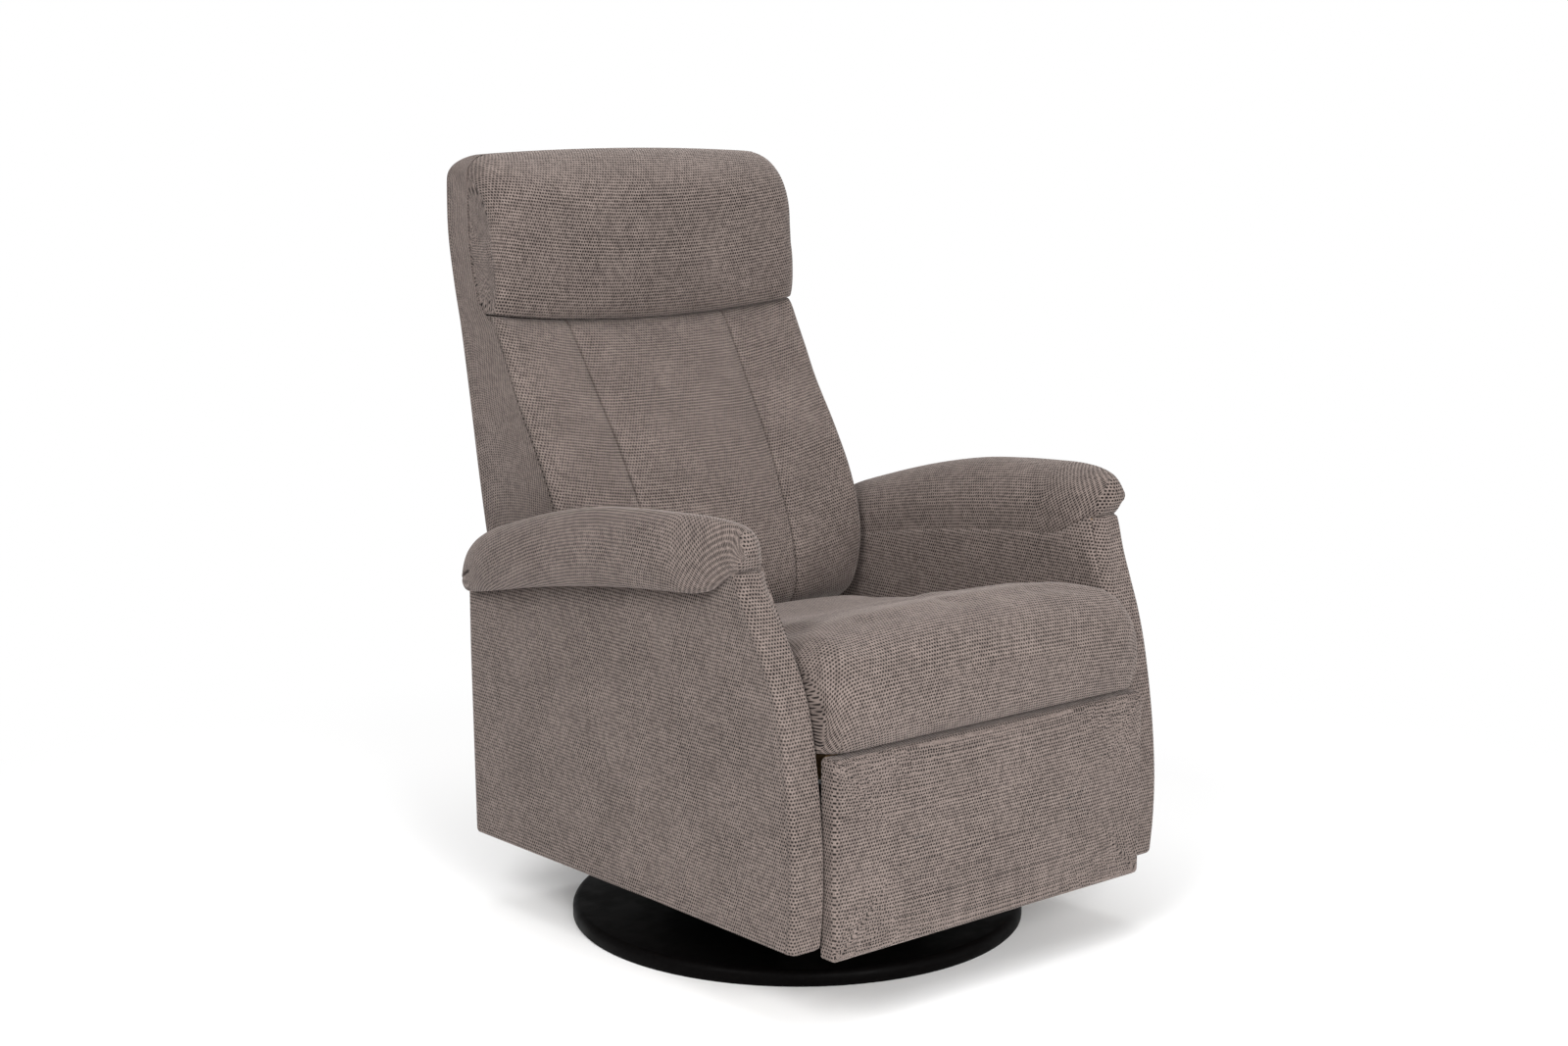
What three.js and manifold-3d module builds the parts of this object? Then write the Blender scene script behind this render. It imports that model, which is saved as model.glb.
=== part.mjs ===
// Upholstered swivel glider recliner: round wooden base, swivel plate, glider links, two padded arms,
// a seat that slides forward as the back reclines, and a footrest carried by two pairs of cranks.
// Millimetres, +Z up, the sitter faces -Y. The origin is the swivel axis at the floor.
import * as THREE from "three";
import { mergeVertices } from "three/addons/utils/BufferGeometryUtils.js";
import Module from "manifold-3d";

const wasm = await Module();
wasm.setup();

// Clearances shared by all pieces
const seat_gap = 0.3;
const washer_gap = 1;
const cut_overrun = 4;

// Round wooden base
const base_radius = 321;
const base_height = 22;
const base_edge_radius = 10;

// Swivel: two pressed plates with a ball ring between them
const swivel_plate_side = 230;
const swivel_plate_thick = 3;
const swivel_plate_corner = 26;
const swivel_hub_radius = 24;
const bearing_outer_radius = 96;
const bearing_inner_radius = 74;
const bearing_height = 8;
const turntable_width = 292;
const turntable_length = 250;
const turntable_thick = 4;
const turntable_corner = 20;

// Glider: towers on the turntable carry four hanging links
const tower_inner_x = 140;
const tower_web = 4;
const tower_flange_width = 26;
const tower_half_length = 128;
const tower_waist_z = 104;
const tower_ear_width = 36;
const swing_pivot_y = 112;
const swing_upper_z = 190;
const swing_length = 110;
const swing_link_x = 150;
const swing_link_thick = 5;
const swing_link_width = 26;
const swing_pin_radius = 6;
const swing_pin_head_radius = 9;
const swing_pin_head = 3;
const swing_hole_radius = 6.3;

// Carriage: two side rails with outriggers that carry the arms, and two cross rails
const carriage_inner_x = 161;
const carriage_rail_width = 20;
const carriage_rail_height = 28;
const carriage_wall = 3;
const carriage_half_length = 232;
const outrigger_thick = 4;
const outrigger_width = 50;
const outrigger_front_y = -100;
const outrigger_rear_y = 176;
const outrigger_flange_height = 56;
const outrigger_gusset = 26;
const cross_rail_width = 30;
const cross_rail_height = 24;

// Arms
const arm_inner_x = 281;
const arm_thick = 50;
const arm_outer_x = arm_inner_x + arm_thick;
const arm_bottom_z = 104;
const arm_rear_y = 319;
const arm_front_reach = 381;
const arm_board_thick = 20;
const arm_board_inset = 3;
const arm_band_thick = 12;
const arm_notch_z = 576;
const arm_crest_z = 633;
const arm_nose_reach = 301;
const arm_pad_overhang = 47;
const arm_pad_outer_x = arm_outer_x + arm_pad_overhang;
const arm_pad_crest_offset = 22;
const arm_pad_crest_x = arm_outer_x + arm_pad_crest_offset;
const arm_cover_drop = 8;

// Seat plane: the top of the seat rails, which slopes up towards the front
const seat_plane_z = 300;
const seat_slope_deg = 7.5;
const rail_side_gap = 29;
const seat_rail_outer_x = arm_inner_x - rail_side_gap;
const seat_rail_width = 18;
const seat_rail_height = 35;
const rail_front_setback = 29;
const seat_rail_front = arm_front_reach - rail_front_setback;
const seat_rail_rear = 192;
const seat_cross_width = 24;
const spring_wire_radius = 1.9;
const spring_swing = 44;
const spring_pitch = 39;
const spring_spread = 118;

// Seat cushion
const seat_side_gap = 1.5;
const seat_half_width = arm_inner_x - seat_side_gap;
const seat_nose_overhang = 50;
const seat_front_reach = seat_rail_front + seat_nose_overhang;
const seat_cushion_rear = 142;
const seat_cushion_front_z = 487;
const seat_cushion_rear_z = 398;
const seat_cushion_crown = 17;
const seat_side_radius = 34;
const seat_nose_radius = 62;
const seat_nose_tuck = 5;
const nose_footrest_gap = 5;

// Slide tracks and mechanism plates
const plate_setback = 15;
const plate_inner_x = arm_inner_x - plate_setback;
const plate_thick = 4;
const plate_front_setback = 34;
const plate_front = seat_rail_front - plate_front_setback;
const plate_lobe_radius = 15;
const track_depth = 21.4;
const track_wall = 3;
const track_height = 24;
const track_drop = 20;
const track_front = 246;
const track_rear = 152;
const shoe_length = 60;
const shoe_clearance = 0.4;
const shoe_front = 132;
const shoe_rear = 106;
const boss_radius = 8;

// Back
const back_side_gap = 7;
const back_half_width = arm_inner_x - back_side_gap;
const back_bottom_z = 300;
const back_top_z = 1074;
const back_top_crown = 10;
const back_shoulder_radius = 66;
const back_rear_reach = 461;
const back_shell_depth = 50;
const back_shell_wall = 12;
const back_rear_edge_radius = 46;
const back_pivot_y = 212;
const back_pivot_z = 352;
const stile_side_gap = 25;
const stile_outer_x = arm_inner_x - stile_side_gap;
const stile_width = 24;
const stile_bottom_z = 334;
const stile_top_drop = 108;
const stile_top_z = back_top_z - stile_top_drop;
const back_rail_height = 42;
const back_rail_thick = 24;
const rail_set_back = 5.25;
const back_rail_low_z = 384;
const bracket_thick = 4;
const bracket_radius = 14;
const bracket_top_z = 452;
const bracket_depth = 26;
const pivot_pin_radius = 5;
const pivot_hole_radius = 5.3;
const pivot_head_radius = 7.5;
const pivot_head = 2.6;

// Back upholstery
const back_cushion_bottom_z = 374;
const neck_seam_z = 843;
const neck_seam_sag = 18;
const neck_seam_gap = 1.2;
const stile_rear_clear = 4;
const bracket_low_clear = 2;
const bracket_knee_drop = 6;
const boss_drop = 2;
const headrest_depth = 90;
const back_cushion_thick = 190;
const headrest_top_radius = 74;
const cushion_edge_radius = 26;
const headrest_edge_radius = 50;
const headrest_rim = 14;
const cushion_least_thick = 2.4;
const cushion_foot_rise = 12;
const cushion_foot_round = 1.2;
const panel_seam_top_x = 144;
const panel_seam_bottom_x = 122;
const panel_seam_depth = 9;
const panel_seam_width = 15;

// Footrest
const board_thick = 12;
const board_edge = 9;
const footrest_top_z = 351;
const footrest_bottom_z = 91;

const board_rail_gap = 10;
const board_rear_reach = seat_rail_front + board_rail_gap;
const board_top_z = footrest_top_z - board_edge / 3;
const board_bottom_z = footrest_bottom_z + board_edge * 2 / 3;
const board_corner = 12;
const footrest_side_gap = 2;
const footrest_half_width = arm_inner_x - footrest_side_gap;
const footrest_pad_thick = 27;
const footrest_front_reach = board_rear_reach + board_thick + footrest_pad_thick;
const footrest_edge_radius = 9;
const crank_pivot_inset = 90;
const crank_pivot_reach = seat_rail_front - crank_pivot_inset;
const crank_pivot_z = 286;
const crank_length = 140;
const crank_offset = 45;
const crank_rest_deg = -109;
const footrest_link_thick = 4;
const footrest_link_x = plate_inner_x - washer_gap - footrest_link_thick;
const footrest_link_width = 18;
const footrest_pin_radius = 4;
const footrest_hole_radius = 4.3;
const footrest_pin_head_radius = 6.5;
const footrest_pin_head = 2.4;
const board_pivot_setback = 16;
const board_pivot_drop = 54;
const board_flange = 30;
const torque_tube_radius = 11;
const torque_tube_bore = 8.6;

// Rear skirt between the arms
const skirt_thick = 15;
const skirt_top_z = 238;
const skirt_inset = 4;
const skirt_rear_y = arm_rear_y - skirt_inset;
const skirt_bottom_z = arm_bottom_z + skirt_inset;

// Shares of the sizes above that the curved outlines follow
const arm_front_shares = [[0, 0.985], [0.11, 0.998], [0.245, 1], [0.415, 0.982], [0.6, 0.943],
  [0.72, 0.9], [0.815, 0.85], [0.9, 0.803], [1, 0.761]];
const pad_bottom_shares = [[0, 0], [0.09, 0.08], [0.31, 0.31], [0.53, 0.495], [0.7, 0.605],
  [0.83, 0.665], [0.9, 0.71], [1, 1]];
const pad_crest_shares = [[0, 0.26], [0.03, 0.4], [0.102, 0.5], [0.194, 0.587], [0.368, 0.77],
  [0.536, 0.909], [0.675, 0.975], [0.774, 0.994], [0.871, 0.985], [0.948, 0.924], [0.984, 0.84],
  [1, 0.72]];
const pad_outer_shares = [[0, 0.6], [0.03, 0.74], [0.12, 0.88], [0.3, 0.98], [0.55, 1], [0.8, 0.98],
  [0.92, 0.83], [0.98, 0.55], [1, 0.36]];
const pad_inner_shares = [[0, 0], [0.86, 0], [0.902, 0.03], [0.934, 0.13], [0.966, 0.33],
  [0.984, 0.53], [1, 0.85]];
const pad_station_shares = [0, 0.03, 0.09, 0.18, 0.3, 0.42, 0.55, 0.67, 0.78, 0.86, 0.92, 0.96, 0.985,
  1];
const back_rear_shares = [[0, 0.716], [0.29, 0.798], [0.5, 0.857], [0.67, 0.924], [0.75, 0.963],
  [0.84, 0.995], [0.91, 1], [1, 0.995]];
const lumbar_shares = [[0, 0.451], [0.018, 0.639], [0.062, 0.805], [0.12, 0.862], [0.18, 0.869],
  [0.26, 0.841], [0.425, 0.724], [0.65, 0.539], [0.815, 0.371], [1, 0.193]];
const wing_shares = [[0, 0.4], [0.018, 0.48], [0.06, 0.6], [0.13, 0.7], [0.23, 0.79], [0.33, 0.83],
  [0.45, 0.8], [0.6, 0.67], [0.74, 0.5], [0.87, 0.34], [1, 0.2]];
const split_knot_shares = [0, 0.39, 0.6, 0.81, 1.001];
const headrest_shares = [[0, 0.44], [0.17, 0.7], [0.4, 0.915], [0.62, 0.935], [0.8, 0.905], [1, 0.78]];
const seat_top_shares = [[0, 0], [0.12, 0.07], [0.36, 0.33], [0.62, 0.66], [0.82, 0.96], [0.93, 1]];
const across_shares = [-1, -0.985, -0.95, -0.88, -0.78, -0.66, -0.57, -0.525, -0.485, -0.4, -0.2, 0,
  0.2, 0.4, 0.485, 0.525, 0.57, 0.66, 0.78, 0.88, 0.95, 0.985, 1];
const shell_across_shares = [-1, -0.97, -0.91, -0.82, -0.76, -0.4, 0, 0.4, 0.76, 0.82, 0.91, 0.97, 1];
const seat_across_shares = [-1, -0.975, -0.92, -0.84, -0.7, -0.45, -0.15, 0.15, 0.45, 0.7, 0.84, 0.92,
  0.975, 1];
const tower_dip_share = 0.55;
const plate_waist_share = 2;
const plate_shoulder_share = 2.4;
const plate_neck_share = 1.6;
const bracket_edge_share = 1.6;
const bracket_top_share = 1.3;
const flange_thick_share = 0.75;
const spring_end_share = 0.5;
const spring_turn_share = 0.7;
const spring_place_shares = [-1.5, -0.5, 0.5, 1.5];
const spring_least_bars = 4;
const pad_depth_shares = [0, 0.25, 0.5, 0.72, 0.88, 1];
const pad_corner_share = 0.018;
const pad_corner_power = 6;
const pad_crown_share = 0.14;
const pad_crown_power = 4;
const pad_outline_points = 40;
const merge_share = 0.01;
const inner_drop_share = 0.72;
const belly_share = 0.42;
const tuck_share = 0.8;
const nose_lift_share = 0.45;
const pad_low_share = 0.3;
const rear_underside_share = 0.25;
const crown_power = 2.6;
const front_spread_power = 1.15;
const wing_round_share = 0.7;
const round_steps = 6;
const seat_top_points = 9;
const fine_round_steps = 36;
const meeting_passes = 40;

// Finishes
const fabric = { color: 0x7a6c67, roughness: 0.95, metalness: 0 };
const dark_wood = { color: 0x16130f, roughness: 0.4, metalness: 0 };
const plywood = { color: 0xb9925f, roughness: 0.8, metalness: 0 };
const black_steel = { color: 0x1b1c1e, roughness: 0.55, metalness: 0.7 };
const zinc_steel = { color: 0x9aa0a4, roughness: 0.4, metalness: 0.9 };
const spring_steel = { color: 0x5a5d60, roughness: 0.45, metalness: 0.9 };

const recliner = new THREE.Group();

// Adds one named piece to the model
function addPiece(name, geometry, finish) {
  const mesh = new THREE.Mesh(geometry, new THREE.MeshStandardMaterial(finish));
  mesh.name = name;
  recliner.add(mesh);
  return mesh;
}

// Drops normals and texture coordinates and joins the shared vertices
function closed(geometry) {
  const bare = geometry.index ? geometry.toNonIndexed() : geometry.clone();
  bare.deleteAttribute("normal");
  bare.deleteAttribute("uv");
  return mergeVertices(bare, seat_gap * merge_share);
}

function toManifold(geometry) {
  const merged = closed(geometry);
  const mesh = new wasm.Mesh({
    numProp: 3,
    vertProperties: new Float32Array(merged.attributes.position.array),
    triVerts: new Uint32Array(merged.index.array),
  });
  return new wasm.Manifold(mesh);
}

function fromManifold(solid) {
  const mesh = solid.getMesh();
  const geometry = new THREE.BufferGeometry();
  const places = new Float32Array(mesh.vertProperties);
  geometry.setAttribute("position", new THREE.BufferAttribute(places, 3));
  geometry.setIndex(new THREE.BufferAttribute(new Uint32Array(mesh.triVerts), 1));
  return geometry;
}

// Joins the first list of shapes and cuts the second list out of it
function combine(joined, cuts = []) {
  let solid = toManifold(joined[0]);
  for (const shape of joined.slice(1)) {
    solid = solid.add(toManifold(shape));
  }
  for (const shape of cuts) {
    solid = solid.subtract(toManifold(shape));
  }
  return fromManifold(solid);
}

// A box between two corners
function block(x, y, z) {
  const geometry = new THREE.BoxGeometry(x[1] - x[0], y[1] - y[0], z[1] - z[0]);
  geometry.translate((x[0] + x[1]) / 2, (y[0] + y[1]) / 2, (z[0] + z[1]) / 2);
  return geometry;
}

function shapeOf(points) {
  return new THREE.Shape(points.map((point) => new THREE.Vector2(point[0], point[1])));
}

// A plate whose outline lies in the YZ plane and whose thickness runs along X
function plate(shape, x, thick, curve_steps = round_steps) {
  const geometry = new THREE.ExtrudeGeometry(shape, { depth: thick, bevelEnabled: false,
    curveSegments: curve_steps });
  const turn = new THREE.Matrix4().makeBasis(
    new THREE.Vector3(0, 1, 0), new THREE.Vector3(0, 0, 1), new THREE.Vector3(1, 0, 0));
  geometry.applyMatrix4(turn);
  geometry.translate(x, 0, 0);
  return geometry;
}

// A flat plate in the XY plane with round corners
function flatPlate(width, length, corner, z, thick) {
  const geometry = new THREE.ExtrudeGeometry(roundedRectangle(width, length, corner),
    { depth: thick, bevelEnabled: false, curveSegments: round_steps / 2 });
  geometry.translate(0, 0, z);
  return geometry;
}

function roundedRectangle(width, length, corner) {
  const half_width = width / 2;
  const half_length = length / 2;
  const shape = new THREE.Shape();
  shape.moveTo(-half_width + corner, -half_length);
  shape.lineTo(half_width - corner, -half_length);
  shape.absarc(half_width - corner, -half_length + corner, corner, -Math.PI / 2, 0, false);
  shape.absarc(half_width - corner, half_length - corner, corner, 0, Math.PI / 2, false);
  shape.absarc(-half_width + corner, half_length - corner, corner, Math.PI / 2, Math.PI, false);
  shape.absarc(-half_width + corner, -half_length + corner, corner, Math.PI, Math.PI * 1.5, false);
  return shape;
}

// A stepped round bar along X: steps are pairs of an X place and the radius up to the next place
function steppedPin(steps, y, z, sides = round_steps * 2) {
  const profile = [new THREE.Vector2(0, steps[0][0])];
  steps.forEach(([x, radius], index) => {
    if (index < steps.length - 1) {
      profile.push(new THREE.Vector2(radius, x), new THREE.Vector2(radius, steps[index + 1][0]));
    }
  });
  profile.push(new THREE.Vector2(0, steps[steps.length - 1][0]));
  const geometry = new THREE.LatheGeometry(profile, sides);
  geometry.rotateZ(-Math.PI / 2);
  geometry.translate(0, y, z);
  return geometry;
}

// A round disc or ring about the Z axis from a closed profile of radius and height
function turned(profile, sides = fine_round_steps) {
  const geometry = new THREE.LatheGeometry(profile.map((point) => new THREE.Vector2(point[0],
    point[1])), sides);
  geometry.rotateX(Math.PI / 2);
  return geometry;
}

// A closed skin through rings of equal count. Each ring is a closed outline of two coordinates
// at its station, and place turns station and outline into a point of the model.
function loft(stations, ringAt, place) {
  const rings = stations.map((station) => ringAt(station));
  const count = rings[0].length;
  const positions = [];
  rings.forEach((ring, index) => {
    for (const point of ring) {
      positions.push(...place(stations[index], point[0], point[1]));
    }
  });
  const triangles = [];
  for (let ring = 0; ring < rings.length - 1; ring += 1) {
    for (let side = 0; side < count; side += 1) {
      const next = (side + 1) % count;
      const a = ring * count + side;
      const b = ring * count + next;
      const c = a + count;
      const d = b + count;
      triangles.push(a, b, d, a, d, c);
    }
  }
  const capOf = (ring) => {
    const outline = ring.map((point) => new THREE.Vector2(point[0], point[1]));
    const faces = THREE.ShapeUtils.triangulateShape(outline, []);
    const turn = faces.reduce((sum, face) => sum + THREE.ShapeUtils.area(face.map((index) => outline[index])), 0);
    return turn * THREE.ShapeUtils.area(outline) < 0 ? faces.map(([a, b, c]) => [c, b, a]) : faces;
  };
  const last = (rings.length - 1) * count;
  for (const [a, b, c] of capOf(rings[0])) {
    triangles.push(c, b, a);
  }
  for (const [a, b, c] of capOf(rings[rings.length - 1])) {
    triangles.push(last + a, last + b, last + c);
  }
  return facedOut(positions, triangles);
}

// Builds a geometry and turns its faces outwards by the sign of its volume
function facedOut(positions, triangles) {
  let volume = 0;
  const at = (index) => new THREE.Vector3(positions[index * 3], positions[index * 3 + 1],
    positions[index * 3 + 2]);
  for (let face = 0; face < triangles.length; face += 3) {
    const [a, b, c] = [at(triangles[face]), at(triangles[face + 1]), at(triangles[face + 2])];
    volume += a.dot(b.cross(c));
  }
  const ordered = volume < 0 ? triangles.slice().reverse() : triangles;
  const geometry = new THREE.BufferGeometry();
  geometry.setAttribute("position", new THREE.Float32BufferAttribute(positions, 3));
  geometry.setIndex(ordered);
  return geometry;
}

// A smooth line through pairs of shares, read at any share
function smoothShare(shares, at) {
  const limited = Math.min(Math.max(at, shares[0][0]), shares[shares.length - 1][0]);
  let cell = 0;
  while (cell < shares.length - 2 && shares[cell + 1][0] < limited) {
    cell += 1;
  }
  const slope = (index) => {
    const low = shares[Math.max(index - 1, 0)];
    const high = shares[Math.min(index + 1, shares.length - 1)];
    return (high[1] - low[1]) / (high[0] - low[0]);
  };
  const [x0, y0] = shares[cell];
  const [x1, y1] = shares[cell + 1];
  const width = x1 - x0;
  const t = (limited - x0) / width;
  const blend = t * t * (3 - 2 * t);
  const lead = t * (1 - t) * (1 - t) * width * slope(cell);
  const trail = t * t * (t - 1) * width * slope(cell + 1);
  return y0 + (y1 - y0) * blend + lead + trail;
}

// Evenly spaced numbers from one value to another
function span(from, to, count) {
  return Array.from({ length: count }, (_, index) => from + ((to - from) * index) / (count - 1));
}

// How far a round edge of this radius draws in at a distance short of the side
function roundInset(distance_from_side, radius) {
  const reach = Math.max(0, radius - distance_from_side);
  return radius - Math.sqrt(radius * radius - Math.min(reach, radius) ** 2);
}

// The two sides of the recliner: +1 is the sitter's left
const sides = [["left", 1], ["right", -1]];

// A plate placed on one side, measured outwards from the middle plane
function sidePlate(shape, side, inner_x, thick, curve_steps = round_steps) {
  return plate(shape, side > 0 ? inner_x : -inner_x - thick, thick, curve_steps);
}

// A stepped pin on one side, its steps measured outwards from the middle plane
function sidePin(steps, side, y, z) {
  if (side > 0) {
    return steppedPin(steps, y, z);
  }
  const mirrored = steps.slice(0, -1).map(([, radius], index) => [-steps[index + 1][0],
    radius]).reverse();
  mirrored.push([-steps[0][0], 0]);
  return steppedPin(mirrored, y, z);
}

function sideBlock(side, x, y, z) {
  return block(side > 0 ? x : [-x[1], -x[0]], y, z);
}

// A link of constant width with round ends and a hole at each listed place
function linkShape(from, to, width, hole_radius, holes) {
  const along = new THREE.Vector2(to[0] - from[0], to[1] - from[1]);
  const angle = Math.atan2(along.y, along.x);
  const radius = width / 2;
  const shape = new THREE.Shape();
  shape.absarc(from[0], from[1], radius, angle + Math.PI / 2, angle + Math.PI * 1.5, false);
  shape.absarc(to[0], to[1], radius, angle - Math.PI / 2, angle + Math.PI / 2, false);
  shape.closePath();
  for (const [y, z] of holes) {
    const hole = new THREE.Path();
    hole.absarc(y, z, hole_radius, 0, Math.PI * 2, true);
    shape.holes.push(hole);
  }
  return shape;
}

// Base disc with a rounded upper edge
function buildBase() {
  const edge = span(0, Math.PI / 2, round_steps / 2 + 1).map((angle) => [
    base_radius - base_edge_radius + base_edge_radius * Math.cos(angle),
    base_height - base_edge_radius + base_edge_radius * Math.sin(angle),
  ]);
  addPiece("base_disc", turned([[0, 0], [base_radius, 0], ...edge, [0, base_height]],
    fine_round_steps * 1.5), dark_wood);
}

// Heights of the swivel's layers
const lower_plate_z = base_height + seat_gap;
const bearing_z = lower_plate_z + swivel_plate_thick + seat_gap;
const turntable_z = bearing_z + bearing_height + seat_gap;
const tower_z = turntable_z + turntable_thick + seat_gap;

function buildSwivel() {
  addPiece("swivel_lower_plate",
    flatPlate(swivel_plate_side, swivel_plate_side, swivel_plate_corner, lower_plate_z,
      swivel_plate_thick), black_steel);
  const groove = bearing_height / 4;
  const middle = (bearing_outer_radius + bearing_inner_radius) / 2;
  addPiece("swivel_bearing", turned([
    [bearing_inner_radius, bearing_z], [bearing_outer_radius, bearing_z],
    [bearing_outer_radius, bearing_z + bearing_height - groove],
      [middle + groove, bearing_z + bearing_height - groove],
    [middle + groove, bearing_z + bearing_height], [middle - groove, bearing_z + bearing_height],
    [middle - groove, bearing_z + bearing_height - groove], [bearing_inner_radius,
      bearing_z + bearing_height - groove],
    [bearing_inner_radius, bearing_z]]), zinc_steel);
  const hole = new THREE.CylinderGeometry(swivel_hub_radius, swivel_hub_radius,
    turntable_thick + cut_overrun, round_steps * 2);
  hole.rotateX(Math.PI / 2);
  hole.translate(0, 0, turntable_z + turntable_thick / 2);
  const table = flatPlate(turntable_width, turntable_length, turntable_corner, turntable_z,
    turntable_thick);
  addPiece("turntable_plate", combine([table], [hole]), black_steel);
}

// Glider tower: a bent side plate with an ear over each link pivot
function towerShape() {
  const ear_z = swing_upper_z + swing_pin_head_radius + tower_web;
  const ear = tower_ear_width / 2;
  const shape = new THREE.Shape();
  shape.moveTo(-tower_half_length, tower_z);
  shape.lineTo(tower_half_length, tower_z);
  shape.lineTo(swing_pivot_y + ear, ear_z - ear);
  shape.absarc(swing_pivot_y, ear_z - ear, ear, 0, Math.PI, false);
  shape.quadraticCurveTo(swing_pivot_y * tower_dip_share, tower_waist_z, 0, tower_waist_z);
  shape.quadraticCurveTo(-swing_pivot_y * tower_dip_share, tower_waist_z, -swing_pivot_y + ear,
    ear_z - ear);
  shape.absarc(-swing_pivot_y, ear_z - ear, ear, 0, Math.PI, false);
  shape.closePath();
  return shape;
}

// A rivet through a swing link: shoulder, shank in the hole and head, from one X place outwards
function swingPinSteps(start_x, direction) {
  const near = swing_link_x - seat_gap;
  const far = swing_link_x + swing_link_thick + seat_gap;
  if (direction > 0) {
    return [[start_x, swing_pin_head_radius], [near, swing_pin_radius], [far, swing_pin_head_radius],
      [far + swing_pin_head, 0]];
  }
  return [[near - swing_pin_head, swing_pin_head_radius], [near, swing_pin_radius],
    [far, swing_pin_head_radius],
    [start_x, 0]];
}

const swing_lower_z = swing_upper_z - swing_length;

function buildGlider() {
  const tower_outer_x = tower_inner_x + tower_web;
  for (const [name, side] of sides) {
    const web = sidePlate(towerShape(), side, tower_inner_x, tower_web);
    const flange = sideBlock(side, [tower_outer_x - tower_flange_width, tower_outer_x],
      [-tower_half_length, tower_half_length], [tower_z, tower_z + tower_web]);
    const pins = [-1, 1].map((end) => sidePin(swingPinSteps(tower_outer_x - tower_web / 2, 1), side,
      end * swing_pivot_y, swing_upper_z));
    addPiece(`glide_tower_${name}`, combine([web, flange, ...pins]), black_steel);
    for (const [end_name, end] of [["front", -1], ["rear", 1]]) {
      const y = end * swing_pivot_y;
      const shape = linkShape([y, swing_upper_z], [y, swing_lower_z], swing_link_width,
        swing_hole_radius,
        [[y, swing_upper_z], [y, swing_lower_z]]);
      addPiece(`swing_link_${end_name}_${name}`, sidePlate(shape, side, swing_link_x,
        swing_link_thick), zinc_steel);
    }
  }
}

// Carriage side rail: a tube with two outriggers welded on top, each turned up against an arm board
const carriage_bottom_z = swing_lower_z - carriage_rail_height / 2;
const carriage_top_z = carriage_bottom_z + carriage_rail_height;
const board_inner_x = (arm_inner_x + arm_outer_x) / 2 - arm_board_thick / 2;

function outriggerParts(side, y) {
  const outer_x = board_inner_x - seat_gap;
  const y_span = [y - outrigger_width / 2, y + outrigger_width / 2];
  const arm = sideBlock(side, [carriage_inner_x, outer_x], y_span,
    [carriage_top_z - carriage_wall, carriage_top_z + outrigger_thick]);
  const relief = sideBlock(side, [carriage_inner_x + carriage_rail_width, outer_x + cut_overrun],
    [y_span[0] - cut_overrun, y_span[1] + cut_overrun], [carriage_top_z - carriage_wall - cut_overrun,
      carriage_top_z]);
  const flange = sideBlock(side, [outer_x - outrigger_thick, outer_x], y_span,
    [carriage_top_z, carriage_top_z + outrigger_flange_height]);
  const gusset_shape = shapeOf([[outer_x, carriage_top_z], [outer_x,
    carriage_top_z + outrigger_gusset + outrigger_thick],
    [outer_x - outrigger_gusset - outrigger_thick, carriage_top_z]].map(([x, z]) => [side * x, z]));
  const gusset = new THREE.ExtrudeGeometry(gusset_shape, { depth: outrigger_thick,
    bevelEnabled: false });
  gusset.rotateX(Math.PI / 2);
  gusset.translate(0, y + outrigger_thick / 2, 0);
  return { joined: [arm, flange, gusset], relief };
}

function buildCarriage() {
  for (const [name, side] of sides) {
    const tube = sideBlock(side, [carriage_inner_x, carriage_inner_x + carriage_rail_width],
      [-carriage_half_length, carriage_half_length], [carriage_bottom_z, carriage_top_z]);
    const bore = sideBlock(side, [carriage_inner_x + carriage_wall,
      carriage_inner_x + carriage_rail_width - carriage_wall],
      [-carriage_half_length - cut_overrun, carriage_half_length + cut_overrun],
      [carriage_bottom_z + carriage_wall, carriage_top_z - carriage_wall]);
    const front = outriggerParts(side, outrigger_front_y);
    const rear = outriggerParts(side, outrigger_rear_y);
    const hollow = combine([tube], [bore]);
    const arms = combine([...front.joined, ...rear.joined], [front.relief, rear.relief]);
    const pins = [-1, 1].map((end) => sidePin(swingPinSteps(carriage_inner_x + carriage_wall / 2, -1),
      side,
      end * swing_pivot_y, swing_lower_z));
    addPiece(`carriage_rail_${name}`, combine([hollow, arms, ...pins]), black_steel);
  }
  const half = carriage_inner_x - seat_gap;
  const z = [swing_lower_z - cross_rail_height / 2, swing_lower_z + cross_rail_height / 2];
  for (const [name, end] of [["front", -1], ["rear", 1]]) {
    const outer_y = carriage_half_length;
    const y = [outer_y - cross_rail_width, outer_y].map((value) => end * value).sort((a, b) => a - b);
    const wall = carriage_wall;
    const channel = combine([block([-half, half], y, z)], [block([-half - cut_overrun,
      half + cut_overrun],
      [y[0] + wall, y[1] - wall], [z[0] - cut_overrun, z[1] - wall])]);
    addPiece(`carriage_cross_rail_${name}`, channel, black_steel);
  }
}

// The arm's front edge: one polyline that every arm layer shares, as a Y place at each height
const arm_front_heights = span(arm_bottom_z, arm_notch_z, 16);
const arm_front_points = arm_front_heights.map((z) => [z,
  -arm_front_reach * smoothShare(arm_front_shares, (z - arm_bottom_z) / (arm_notch_z - arm_bottom_z))]);

function armFrontY(z) {
  let cell = 0;
  while (cell < arm_front_points.length - 2 && arm_front_points[cell + 1][0] < z) {
    cell += 1;
  }
  const [low, high] = [arm_front_points[cell], arm_front_points[cell + 1]];
  return low[1] + ((high[1] - low[1]) * (z - low[0])) / (high[0] - low[0]);
}

function armFrontHeights(low, high) {
  return [low, ...arm_front_heights.filter((z) => z > low + seat_gap && z < high - seat_gap), high];
}

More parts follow.
